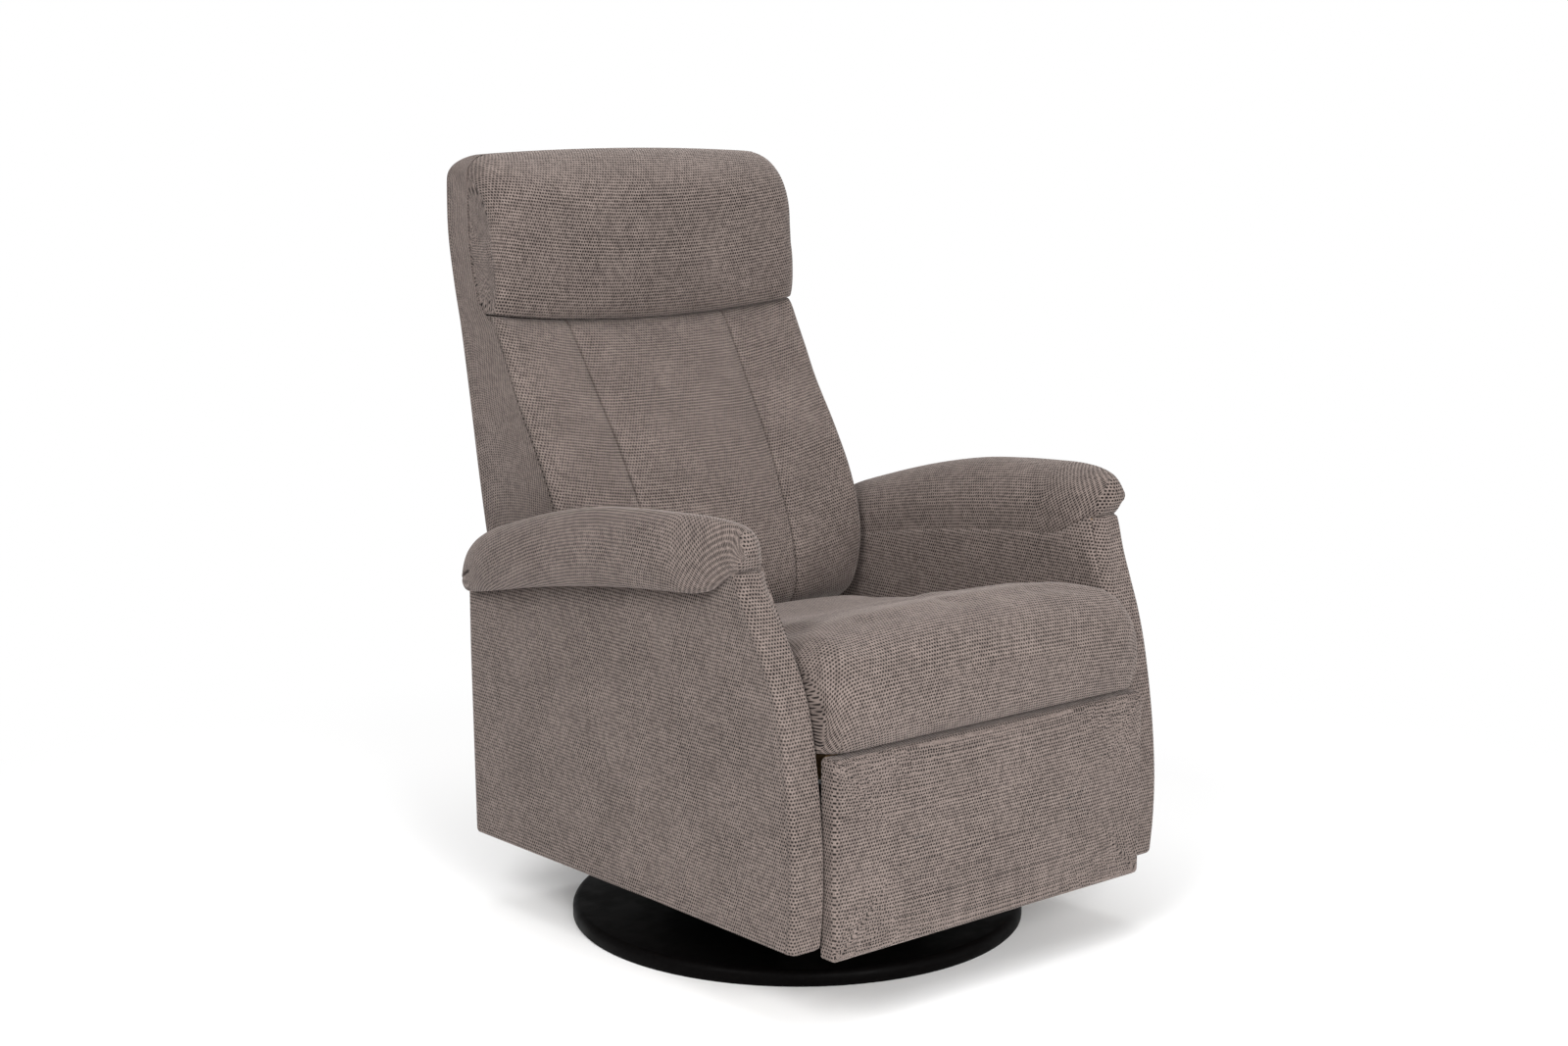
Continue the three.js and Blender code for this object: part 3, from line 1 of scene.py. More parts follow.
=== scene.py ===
"""Looks of an upholstered swivel glider recliner, sewn and finished over its CAD frame.

Everything is in metres in the frame of the CAD model: +X to the sitter's left, -Y to the front, +Z up.
"""
import logging
import math
from dataclasses import dataclass
from enum import Enum
from typing import Callable, Sequence

import bpy
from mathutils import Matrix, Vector


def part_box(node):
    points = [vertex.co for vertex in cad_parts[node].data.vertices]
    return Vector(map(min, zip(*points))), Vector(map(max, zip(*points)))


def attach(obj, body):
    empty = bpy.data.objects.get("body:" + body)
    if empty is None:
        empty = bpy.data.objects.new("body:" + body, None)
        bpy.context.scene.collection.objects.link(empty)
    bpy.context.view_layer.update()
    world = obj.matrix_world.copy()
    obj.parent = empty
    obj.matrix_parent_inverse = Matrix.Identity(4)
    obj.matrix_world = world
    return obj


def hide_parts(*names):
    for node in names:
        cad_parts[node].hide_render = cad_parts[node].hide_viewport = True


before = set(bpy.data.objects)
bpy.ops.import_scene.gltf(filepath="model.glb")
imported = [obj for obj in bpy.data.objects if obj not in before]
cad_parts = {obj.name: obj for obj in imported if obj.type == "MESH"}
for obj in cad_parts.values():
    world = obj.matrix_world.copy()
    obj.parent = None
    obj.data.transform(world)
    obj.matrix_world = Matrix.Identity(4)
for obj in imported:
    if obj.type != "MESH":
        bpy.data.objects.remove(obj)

LOG = logging.getLogger("recliner")
Point = tuple[float, float, float]
Flat = tuple[float, float]


class Side(Enum):
    """The two sides of the recliner, with the sign of X on each."""

    LEFT = 1
    RIGHT = -1

    @property
    def word(self) -> str:
        """Returns the side's word as the node names have it."""
        return self.name.lower()


@dataclass(frozen=True)
class ArmSizes:
    """Places and sizes of one arm, in metres."""

    inner_x: float = 0.281
    outer_x: float = 0.331
    pad_outer_x: float = 0.378
    crest_x: float = 0.353
    bottom_z: float = 0.104
    rear_y: float = 0.319
    front_reach: float = 0.381
    nose_reach: float = 0.301
    notch_z: float = 0.576
    crest_z: float = 0.633
    band: float = 0.012
    edge: float = 0.007


@dataclass(frozen=True)
class SeatSizes:
    """Places and sizes of the seat cushion, in metres."""

    half_width: float = 0.2795
    front_reach: float = 0.4015
    rear: float = 0.142
    front_z: float = 0.487
    rear_z: float = 0.398
    crown: float = 0.015
    side_radius: float = 0.034
    nose_radius: float = 0.064
    underside_z: float = 0.3515
    plane_z: float = 0.300
    slope: float = math.radians(7.5)


@dataclass(frozen=True)
class BackSizes:
    """Places and sizes of the back, in metres."""

    half_width: float = 0.274
    bottom_z: float = 0.300
    top_z: float = 1.074
    top_crown: float = 0.009
    shoulder_radius: float = 0.056
    rear_shoulder: float = 0.034
    rear_reach: float = 0.461
    shell_depth: float = 0.050
    cushion_bottom_z: float = 0.376
    cushion_depth: float = 0.190
    headrest_depth: float = 0.090
    headrest_radius: float = 0.074
    neck_z: float = 0.843
    neck_sag: float = 0.018
    seam_top_x: float = 0.144
    seam_low_x: float = 0.122
    seam_share: float = 0.49


@dataclass(frozen=True)
class FootrestSizes:
    """Places and sizes of the footrest's cover, in metres."""

    half_width: float = 0.2800
    front_y: float = -0.4015
    rear_y: float = -0.3655
    top_z: float = 0.3485
    bottom_z: float = 0.091
    edge: float = 0.007
    crown: float = 0.0035


@dataclass(frozen=True)
class BaseSizes:
    """Sizes of the round base, in metres."""

    radius: float = 0.321
    height: float = 0.022
    edge: float = 0.010
    foot: float = 0.002


@dataclass(frozen=True)
class Profile:
    """A smooth line through pairs of a share and a value.

    Args:
        knots: Pairs in rising order of share.
    """

    knots: tuple[Flat, ...]

    def slope(self, index: int) -> float:
        """Returns the line's slope at a knot."""
        low = self.knots[max(index - 1, 0)]
        high = self.knots[min(index + 1, len(self.knots) - 1)]
        return (high[1] - low[1]) / (high[0] - low[0])

    def at(self, share: float) -> float:
        """Returns the value at a share, held level beyond the ends."""
        share = min(max(share, self.knots[0][0]), self.knots[-1][0])
        cell = 0
        while cell < len(self.knots) - 2 and self.knots[cell + 1][0] < share:
            cell += 1
        (x0, y0), (x1, y1) = self.knots[cell], self.knots[cell + 1]
        width = x1 - x0
        t = (share - x0) / width
        lead = t * (1 - t) ** 2 * width * self.slope(cell)
        trail = t * t * (t - 1) * width * self.slope(cell + 1)
        return y0 + (y1 - y0) * t * t * (3 - 2 * t) + lead + trail


# Shares of the height and of the reach, read as lines
ARM_FRONT = Profile(((0, .985), (.11, .998), (.245, 1), (.415, .982), (.6, .943), (.72, .9),
                     (.815, .85), (.9, .803), (1, .761)))
PAD_BOTTOM = Profile(((0, 0), (.09, .08), (.31, .31), (.53, .495), (.7, .605), (.83, .665), (.9, .71),
                      (1, 1)))
PAD_CREST = Profile(((0, .18), (.03, .335), (.102, .49), (.194, .612), (.368, .8), (.536, .93), (.675, .985),
                     (.774, 1.008), (.871, 1.022), (.948, 1.0), (.984, .95), (1, .85)))
PAD_OUTER = Profile(((0, .42), (.03, .6), (.12, .84), (.3, .98), (.55, 1), (.8, .95), (.9, .74),
                     (.96, .47), (1, .27)))
PAD_INNER = Profile(((0, 0), (.86, 0), (.902, .03), (.934, .13), (.966, .33), (.984, .53), (1, .85)))
SEAT_TOP = Profile(((0, 0), (.12, .07), (.36, .33), (.62, .66), (.82, .96), (.93, 1)))
BACK_REAR = Profile(((0, .716), (.29, .798), (.5, .857), (.67, .924), (.75, .963), (.84, .995),
                     (.91, 1), (1, .995)))
LUMBAR = Profile(((0, .451), (.018, .639), (.062, .805), (.12, .862), (.18, .869), (.26, .841), (.425, .724),
                  (.65, .539), (.815, .371), (1, .193)))
WING = Profile(((0, .4), (.018, .48), (.06, .6), (.13, .7), (.23, .78), (.33, .79), (.45, .735),
                (.6, .602), (.74, .45), (.87, .355), (1, .275)))
HEADREST = Profile(((0, .44), (.17, .7), (.4, .915), (.62, .935), (.8, .905), (1, .78)))
SPLIT_SHARES = (0, 0.39, 0.6, 0.81, 1.001)


def spread(low: float, high: float, count: int) -> list[float]:
    """Returns evenly spaced numbers from low to high."""
    return [low + (high - low) * index / (count - 1) for index in range(count)]


def unit(value: float) -> float:
    """Holds a value between 0 and 1."""
    return min(1.0, max(0.0, value))


def grid_faces(rows: int, wide: int, flip: bool = False) -> list[tuple[int, ...]]:
    """Returns the faces of a grid of points laid row by row, turned round if asked."""
    faces = [(r * wide + c, r * wide + c + 1, (r + 1) * wide + c + 1, (r + 1) * wide + c)
             for r in range(rows - 1) for c in range(wide - 1)]
    return [face[::-1] for face in faces] if flip else faces


def span_distance(point: Vector, start: Vector, end: Vector) -> float:
    """Returns the distance from a point to a straight span."""
    along = end - start
    share = unit((point - start).dot(along) / along.length_squared)
    return (point - start - along * share).length


def inset_of(distance: float, radius: float) -> float:
    """Returns how far a round edge draws in at a distance short of the side."""
    reach = min(max(0.0, radius - distance), radius)
    return radius - math.sqrt(radius * radius - reach * reach)


def linear(code: str) -> tuple[float, float, float, float]:
    """Turns an sRGB hex code into linear colour.

    Args:
        code: Six hexadecimal digits.

    Returns:
        Red, green, blue and alpha.
    """
    parts = [int(code[place:place + 2], 16) / 255 for place in (0, 2, 4)]
    return (*[part / 12.92 if part <= 0.04045 else ((part + 0.055) / 1.055) ** 2.4 for part in parts], 1.0)


class Nodes:
    """Builds a material's node tree one node at a time.

    Args:
        name: The material's name.
    """

    def __init__(self, name: str) -> None:
        self.material = bpy.data.materials.new(name)
        self.material.use_nodes = True
        self.tree = self.material.node_tree
        self.shader = self.tree.nodes["Principled BSDF"]

    def add(self, kind: str, **settings: object) -> bpy.types.Node:
        """Adds one node and sets its properties and inputs.

        Args:
            kind: The node's type.
            settings: Properties by name; inputs by name with in_ before it.

        Returns:
            The new node.
        """
        node = self.tree.nodes.new(kind)
        for key, value in settings.items():
            if not key.startswith("in_"):
                setattr(node, key, value)
        for key, value in settings.items():
            if key.startswith("in_"):
                self.feed(value, node.inputs[int(key[3:]) if key[3:].isdigit() else key[3:].replace("_", " ")])
        return node

    def feed(self, value: object, socket: bpy.types.NodeSocket) -> None:
        """Links a socket, or sets a plain value."""
        if isinstance(value, bpy.types.NodeSocket):
            self.tree.links.new(value, socket)
        else:
            socket.default_value = value

    def math(self, operation: str, first: object, second: object = 0.0,
             third: object = 0.0) -> bpy.types.NodeSocket:
        """Returns the result of one sum."""
        return self.add("ShaderNodeMath", operation=operation, in_0=first, in_1=second, in_2=third).outputs[0]

    def ramp(self, value: object, low: float, high: float, out_low: float,
             out_high: float) -> bpy.types.NodeSocket:
        """Maps a value smoothly from one range to another."""
        node = self.add("ShaderNodeMapRange", interpolation_type="SMOOTHSTEP", in_Value=value)
        for name, number in (("From Min", low), ("From Max", high), ("To Min", out_low), ("To Max", out_high)):
            node.inputs[name].default_value = number
        return node.outputs[0]

    def scaled(self, place: object, factors: Point) -> bpy.types.NodeSocket:
        """Returns a place stretched along each axis."""
        return self.add("ShaderNodeVectorMath", operation="MULTIPLY", in_0=place, in_1=factors).outputs[0]

    def mix(self, share: object, first: object, second: object) -> bpy.types.NodeSocket:
        """Mixes two colours."""
        node = self.add("ShaderNodeMix", data_type="RGBA", in_0=share)
        self.feed(first, node.inputs[6])
        self.feed(second, node.inputs[7])
        return node.outputs[2]

    def noise(self, place: object, scale: float, detail: float = 3.0,
              rough: float = 0.55) -> bpy.types.NodeSocket:
        """Returns a noise value at a place."""
        return self.add("ShaderNodeTexNoise", in_Vector=place, in_Scale=scale, in_Detail=detail,
                        in_Roughness=rough).outputs[0]

    def bump(self, height: object, distance: float, strength: float = 1.0,
             under: object = None) -> bpy.types.NodeSocket:
        """Returns a bumped normal from a height."""
        node = self.add("ShaderNodeBump", in_Height=height, in_Distance=distance, in_Strength=strength)
        if under is not None:
            self.feed(under, node.inputs["Normal"])
        return node.outputs[0]

    def finish(self, **sockets: object) -> bpy.types.Material:
        """Feeds the shader's sockets and returns the material."""
        for key, value in sockets.items():
            self.feed(value, self.shader.inputs[key.replace("_", " ")])
        return self.material


@dataclass(frozen=True)
class WovenFabric:
    """Taupe upholstery cloth of thick yarns, with a hole at each crossing in every second place, painted dark as the
    shade inside it.

    Attributes:
        yarn: Lighter yarn colour.
        shade: Darker yarn colour.
        shaded_hole: Painted shade in the holes between the yarns.
        row_pitch: Distance between rows, in metres.
        hole_pitch: Distance between holes along a row, in metres.
        drift: How far the yarns wander, in metres.
        relief: Depth of the holes, in metres.
    """

    yarn: str = "837670"
    shade: str = "5a504c"
    # Painted shade: near-black colour inside the holes between the yarns.
    shaded_hole: str = "0d0a09"
    row_pitch: float = 0.0046
    hole_pitch: float = 0.0045
    drift: float = 0.0016
    relief: float = 0.0009

    def build(self) -> bpy.types.Material:
        """Returns the material, which reads texture coordinates in metres."""
        nodes = Nodes("taupe_woven_fabric")
        uv = nodes.add("ShaderNodeUVMap", uv_map="weave").outputs[0]
        place = nodes.add("ShaderNodeTexCoord").outputs["Object"]
        wobble = nodes.add("ShaderNodeTexNoise", in_Vector=place, in_Scale=60.0, in_Detail=1.0).outputs[1]
        shift = nodes.add("ShaderNodeVectorMath", operation="MULTIPLY_ADD", in_0=wobble,
                          in_1=(self.drift, self.drift, 0), in_2=uv).outputs[0]
        parts = nodes.add("ShaderNodeSeparateXYZ", in_0=shift).outputs
        row = nodes.math("DIVIDE", parts[1], self.row_pitch)
        row_index = nodes.math("FLOOR", row)
        stagger = nodes.math("MULTIPLY", nodes.math("FLOORED_MODULO", row_index, 2.0), 0.5)
        column = nodes.math("ADD", nodes.math("DIVIDE", parts[0], self.hole_pitch), stagger)
        column_index = nodes.math("FLOOR", column)
        across = nodes.math("SUBTRACT", nodes.math("FRACT", column), 0.5)
        up = nodes.math("SUBTRACT", nodes.math("FRACT", row), 0.5)
        distance = nodes.math("SQRT", nodes.math("ADD", nodes.math("MULTIPLY", across, across),
                                                 nodes.math("MULTIPLY", nodes.math("MULTIPLY", up, up), 1.25)))
        shaded_hole = nodes.ramp(distance, 0.22, 0.44, 1.0, 0.0)
        cell = nodes.add("ShaderNodeCombineXYZ", in_0=column_index, in_1=row_index).outputs[0]
        speck = nodes.add("ShaderNodeTexWhiteNoise", in_Vector=cell).outputs[0]
        fibre = nodes.noise(place, 900.0, 2.0)
        nap = nodes.noise(place, 13.0, 4.0, 0.6)
        tone = nodes.math("ADD", nodes.math("MULTIPLY", speck, 0.30), nodes.math("MULTIPLY", fibre, 0.70))
        yarn = nodes.mix(nodes.ramp(tone, 0.2, 0.8, 0.0, 1.0), linear(self.shade), linear(self.yarn))
        brushed = nodes.ramp(nap, 0.35, 0.7, 0.955, 1.045)
        deep = nodes.math("MULTIPLY", shaded_hole, nodes.ramp(nap, 0.3, 0.75, 1.0, 0.82))
        # Painted shade: the holes are real openings of the weave, but their near-black colour stands for the shade
        # inside them, and the sheen fades there too.
        cloth = nodes.mix(deep, yarn, linear(self.shaded_hole))
        toned = nodes.add("ShaderNodeVectorMath", operation="SCALE", in_0=cloth, in_Scale=brushed).outputs[0]
        height = nodes.math("SUBTRACT", nodes.math("MULTIPLY", fibre, 0.35), shaded_hole)
        normal = nodes.bump(height, self.relief, 0.75)
        return nodes.finish(Base_Color=toned, Normal=normal, Roughness=nodes.ramp(nap, 0.3, 0.7, 0.96, 0.84),
                            Sheen_Weight=nodes.ramp(deep, 0.0, 0.9, 0.46, 0.06), Sheen_Roughness=0.34,
                            Sheen_Tint=linear("e9dcd6"), Specular_IOR_Level=0.2)


@dataclass(frozen=True)
class LacqueredWood:
    """Black stained wood under a satin lacquer, with faint grain.

    Attributes:
        colour: Stain colour.
        roughness: Roughness of the lacquer.
    """

    colour: str = "050404"
    roughness: float = 0.46

    def build(self) -> bpy.types.Material:
        """Returns the material."""
        nodes = Nodes("black_lacquered_wood")
        place = nodes.add("ShaderNodeTexCoord").outputs["Object"]
        long = nodes.scaled(place, (2.0, 30.0, 30.0))
        grain = nodes.noise(long, 9.0, 6.0)
        wear = nodes.noise(place, 22.0, 3.0)
        colour = nodes.mix(nodes.ramp(grain, 0.3, 0.8, 0.0, 1.0), linear(self.colour), linear("090808"))
        rough = nodes.ramp(wear, 0.3, 0.7, self.roughness - 0.05, self.roughness + 0.09)
        return nodes.finish(Base_Color=colour, Roughness=rough, Normal=nodes.bump(grain, 0.0003, 0.35),
                            Specular_IOR_Level=0.03)


@dataclass(frozen=True)
class Metal:
    """A metal or a coated metal with fine unevenness.

    Attributes:
        name: Material name.
        colour: Surface colour.
        metallic: How metallic the surface is.
        roughness: Mean roughness.
        grain: Noise scale of the unevenness.
        depth: Bump depth in metres.
    """

    name: str
    colour: str
    metallic: float
    roughness: float
    grain: float
    depth: float

    def build(self) -> bpy.types.Material:
        """Returns the material."""
        nodes = Nodes(self.name)
        place = nodes.add("ShaderNodeTexCoord").outputs["Object"]
        fine = nodes.noise(place, self.grain, 3.0)
        broad = nodes.noise(place, 18.0, 4.0)
        red, green, blue, _ = linear(self.colour)
        darker = (red * 0.72, green * 0.72, blue * 0.74, 1.0)
        colour = nodes.mix(nodes.ramp(broad, 0.3, 0.7, 0.0, 1.0), darker, linear(self.colour))
        rough = nodes.ramp(broad, 0.25, 0.75, self.roughness + 0.1, self.roughness - 0.08)
        return nodes.finish(Base_Color=colour, Metallic=self.metallic, Roughness=rough,
                            Normal=nodes.bump(fine, self.depth, 0.5))


@dataclass(frozen=True)
class Plywood:
    """Raw birch plywood with long grain.

    Attributes:
        light: Early wood colour.
        dark: Late wood colour.
    """

    light: str = "b3916a"
    dark: str = "7f6140"

    def build(self) -> bpy.types.Material:
        """Returns the material."""
        nodes = Nodes("raw_birch_plywood")
        place = nodes.add("ShaderNodeTexCoord").outputs["Object"]
        long = nodes.scaled(place, (40.0, 4.0, 30.0))
        grain = nodes.noise(long, 3.0, 8.0, 0.62)
        colour = nodes.mix(nodes.ramp(grain, 0.35, 0.68, 0.0, 1.0), linear(self.light), linear(self.dark))
        return nodes.finish(Base_Color=colour, Roughness=0.72, Normal=nodes.bump(grain, 0.0004, 0.4))


class Skin:
    """A quad skin through equal outlines, with texture coordinates in metres.

    Args:
        name: The piece's name.
        rings: Outlines of equal count, each a closed loop of points.
        middle: Index of the outline at which the coordinate along the stations is zero.
        origin: Index on each outline at which the coordinate around it is zero.
        cap_uv: Turns a point into texture coordinates on the end caps.
    """

    def __init__(self, name: str, rings: Sequence[Sequence[Point]], middle: int = 0, origin: int = 0,
                 cap_uv: Callable[[Vector], Flat] = lambda point: (point.y, point.z)) -> None:
        self.name = name
        self.rings = [[Vector(point) for point in ring] for ring in rings]
        self.middle = middle
        self.origin = origin
        self.cap_uv = cap_uv

    def around(self) -> list[list[float]]:
        """Returns distances around each outline, with one more for the closing point."""
        table = []
        for ring in self.rings:
            run = [0.0]
            for index in range(len(ring)):
                run.append(run[-1] + (ring[(index + 1) % len(ring)] - ring[index]).length)
            table.append([value - run[self.origin] for value in run])
        return table

    def along(self) -> list[list[float]]:
        """Returns distances along the stations at each place on the outline."""
        count = len(self.rings[0])
        table = [[0.0] * count for _ in self.rings]
        for index in range(count):
            for ring in range(self.middle + 1, len(self.rings)):
                step = (self.rings[ring][index] - self.rings[ring - 1][index]).length
                table[ring][index] = table[ring - 1][index] + step
            for ring in range(self.middle - 1, -1, -1):
                step = (self.rings[ring][index] - self.rings[ring + 1][index]).length
                table[ring][index] = table[ring + 1][index] - step
        return table

    def build(self) -> bpy.types.Object:
        """Returns the mesh object, with its faces outwards."""
        count = len(self.rings[0])
        points = [point for ring in self.rings for point in ring]
        along, around = self.along(), self.around()
        faces, coords = [], []
        for ring in range(len(self.rings) - 1):
            for side in range(count):
                after = (side + 1) % count
                faces.append((ring * count + side, ring * count + after, (ring + 1) * count + after,
                              (ring + 1) * count + side))
                coords.append(((along[ring][side], around[ring][side]),
                               (along[ring][after], around[ring][side + 1]),
                               (along[ring + 1][after], around[ring + 1][side + 1]),
                               (along[ring + 1][side], around[ring + 1][side])))
        last = (len(self.rings) - 1) * count
        for cap in (list(range(count))[::-1], [last + index for index in range(count)]):
            faces.append(tuple(cap))
            coords.append(tuple(self.cap_uv(points[index]) for index in cap))
        volume = sum(points[face[0]].dot(points[face[k]].cross(points[face[k + 1]]))
                     for face in faces for k in range(1, len(face) - 1))
        if volume < 0:
            faces = [face[::-1] for face in faces]
            coords = [face[::-1] for face in coords]
        return mesh_object(self.name, points, faces, coords, flat_last=2)


def mesh_object(name: str, points: Sequence[Point], faces: Sequence[Sequence[int]],
                coords: Sequence[Sequence[Flat]], flat_last: int = 0) -> bpy.types.Object:
    """Makes a smooth mesh object with a weave map.

    Args:
        name: The object's name.
        points: The vertices.
        faces: Vertex indices of each face.
        coords: Texture coordinates of each face's corners.
        flat_last: How many of the last faces stay flat.

    Returns:
        The linked object.
    """
    mesh = bpy.data.meshes.new(name)
    mesh.from_pydata([tuple(point) for point in points], [], [tuple(face) for face in faces])
    layer = mesh.uv_layers.new(name="weave")
    layer.data.foreach_set("uv", [value for face in coords for corner in face for value in corner])
    smooth = [True] * (len(faces) - flat_last) + [False] * flat_last
    mesh.polygons.foreach_set("use_smooth", smooth)
    mesh.update()
    item = bpy.data.objects.new(name, mesh)
    bpy.context.scene.collection.objects.link(item)
    return item


def baked(item: bpy.types.Object) -> bpy.types.Object:
    """Applies an object's modifiers to its mesh."""
    view = bpy.context.evaluated_depsgraph_get()
    mesh = bpy.data.meshes.new_from_object(item.evaluated_get(view), preserve_all_data_layers=True,
                                           depsgraph=view)
    item.modifiers.clear()
    item.data = mesh
    return item


def subdivided(item: bpy.types.Object, levels: int = 1) -> bpy.types.Object:
    """Subdivides and applies."""
    modifier = item.modifiers.new("round", "SUBSURF")
    modifier.levels = levels
    modifier.render_levels = levels
    return baked(item)


def padded_sheet(name: str, points: Sequence[Point], flats: Sequence[Flat], rows: int, flip: bool,
                 thickness: float) -> bpy.types.Object:
    """Makes a sewn sheet from a grid of points and gives it its wall behind its face.

    Args:
        name: The object's name.
        points: The grid's points, row by row.
        flats: Texture coordinates of each point.
        rows: Number of rows.
        flip: Whether the faces are turned round.
        thickness: Thickness of the wall, in metres.

    Returns:
        The sheet, with its wall applied.
    """
    faces = grid_faces(rows, len(points) // rows, flip)
    item = mesh_object(name, points, faces, [[flats[index] for index in face] for face in faces])
    wall = item.modifiers.new("wall", "SOLIDIFY")
    wall.thickness = thickness
    wall.offset = -1
    return baked(item)


def remapped(item: bpy.types.Object,
             rule: Callable[[bpy.types.MeshPolygon], Callable[[Vector], Flat] | None]) -> None:
    """Maps the weave anew on the faces for which a rule gives a way to map their points."""
    layer = item.data.uv_layers[0].data
    for face in item.data.polygons:
        flat = rule(face)
        if flat is not None:
            for loop in face.loop_indices:
                layer[loop].uv = flat(item.data.vertices[item.data.loops[loop].vertex_index].co)


@dataclass(frozen=True)
class Filling:
    """How tightly a sewn cover is filled.

    Attributes:
        pressure: Pressure inside the cover.
        cap: Furthest that a point may move, in metres.
        frames: Simulation steps.
    """

    pressure: float = 4.0
    cap: float = 0.010
    frames: int = 16

    def swell(self, item: bpy.types.Object, hold: Callable[[Vector], float]) -> bpy.types.Object:
        """Swells a closed cover as cloth and keeps its result.

        Args:
            item: The cover.
            hold: How firmly a point is held, from 0 to 1.

        Returns:
            The same object with its points moved.
        """
        group = item.vertex_groups.new(name="sewn")
        for vertex in item.data.vertices:
            group.add([vertex.index], unit(hold(vertex.co)), "REPLACE")
        modifier = item.modifiers.new("cover", "CLOTH")
        cloth = modifier.settings
        cloth.quality = 6
        cloth.mass = 0.3
        cloth.tension_stiffness = 28
        cloth.compression_stiffness = 28
        cloth.shear_stiffness = 12
        cloth.bending_stiffness = 1.2
        cloth.use_pressure = True
        cloth.uniform_pressure_force = self.pressure
        cloth.effector_weights.gravity = 0
        cloth.vertex_group_mass = "sewn"
        cloth.pin_stiffness = 3.0
        modifier.collision_settings.use_collision = False
        modifier.collision_settings.use_self_collision = False
        scene = bpy.context.scene
        for step in range(1, self.frames + 1):
            scene.frame_set(step)
        view = bpy.context.evaluated_depsgraph_get()
        swollen = item.evaluated_get(view).data
        moved = [other.co.copy() for other in swollen.vertices]
        item.modifiers.clear()
        scene.frame_set(1)
        for vertex, place in zip(item.data.vertices, moved):
            step = place - vertex.co
            if step.length > self.cap:
                step = step.normalized() * self.cap
            vertex.co += step
        item.data.update()
        return item


def dressed(item: bpy.types.Object, body: str, nodes: Sequence[str], material: bpy.types.Material) -> bpy.types.Object:
    """Gives a finished piece its material and body, and hides the CAD nodes that it stands for.

    Args:
        item: The piece.
        body: CAD body that it rides on.
        nodes: CAD nodes that it stands for.
        material: Its finish.

    Returns:
        The same object.
    """
    item.data.materials.clear()
    item.data.materials.append(material)
    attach(item, body)
    if nodes:
        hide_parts(*nodes)
    return item


@dataclass(frozen=True)
class SewingThread:
    """Spun polyester thread a shade darker than the cloth, with a slight gloss and twist.

    Attributes:
        colour: Colour of the thread.
        strand_shade: Painted shade between its strands, where the twist's bump dips.
    """

    colour: str = "6f635e"
    # Painted shade between the strands.
    strand_shade: str = "4a423e"

    def build(self) -> bpy.types.Material:
        """Returns the material."""
        nodes = Nodes("taupe_sewing_thread")
        place = nodes.add("ShaderNodeTexCoord").outputs["Object"]
        twist = nodes.noise(place, 2600.0, 2.0)
        # Painted shade: the colour darkens with the twist's bump, between the strands.
        colour = nodes.mix(nodes.ramp(twist, 0.3, 0.7, 0.0, 1.0), linear(self.strand_shade), linear(self.colour))
        return nodes.finish(Base_Color=colour, Roughness=0.62, Normal=nodes.bump(twist, 0.0001, 0.5))


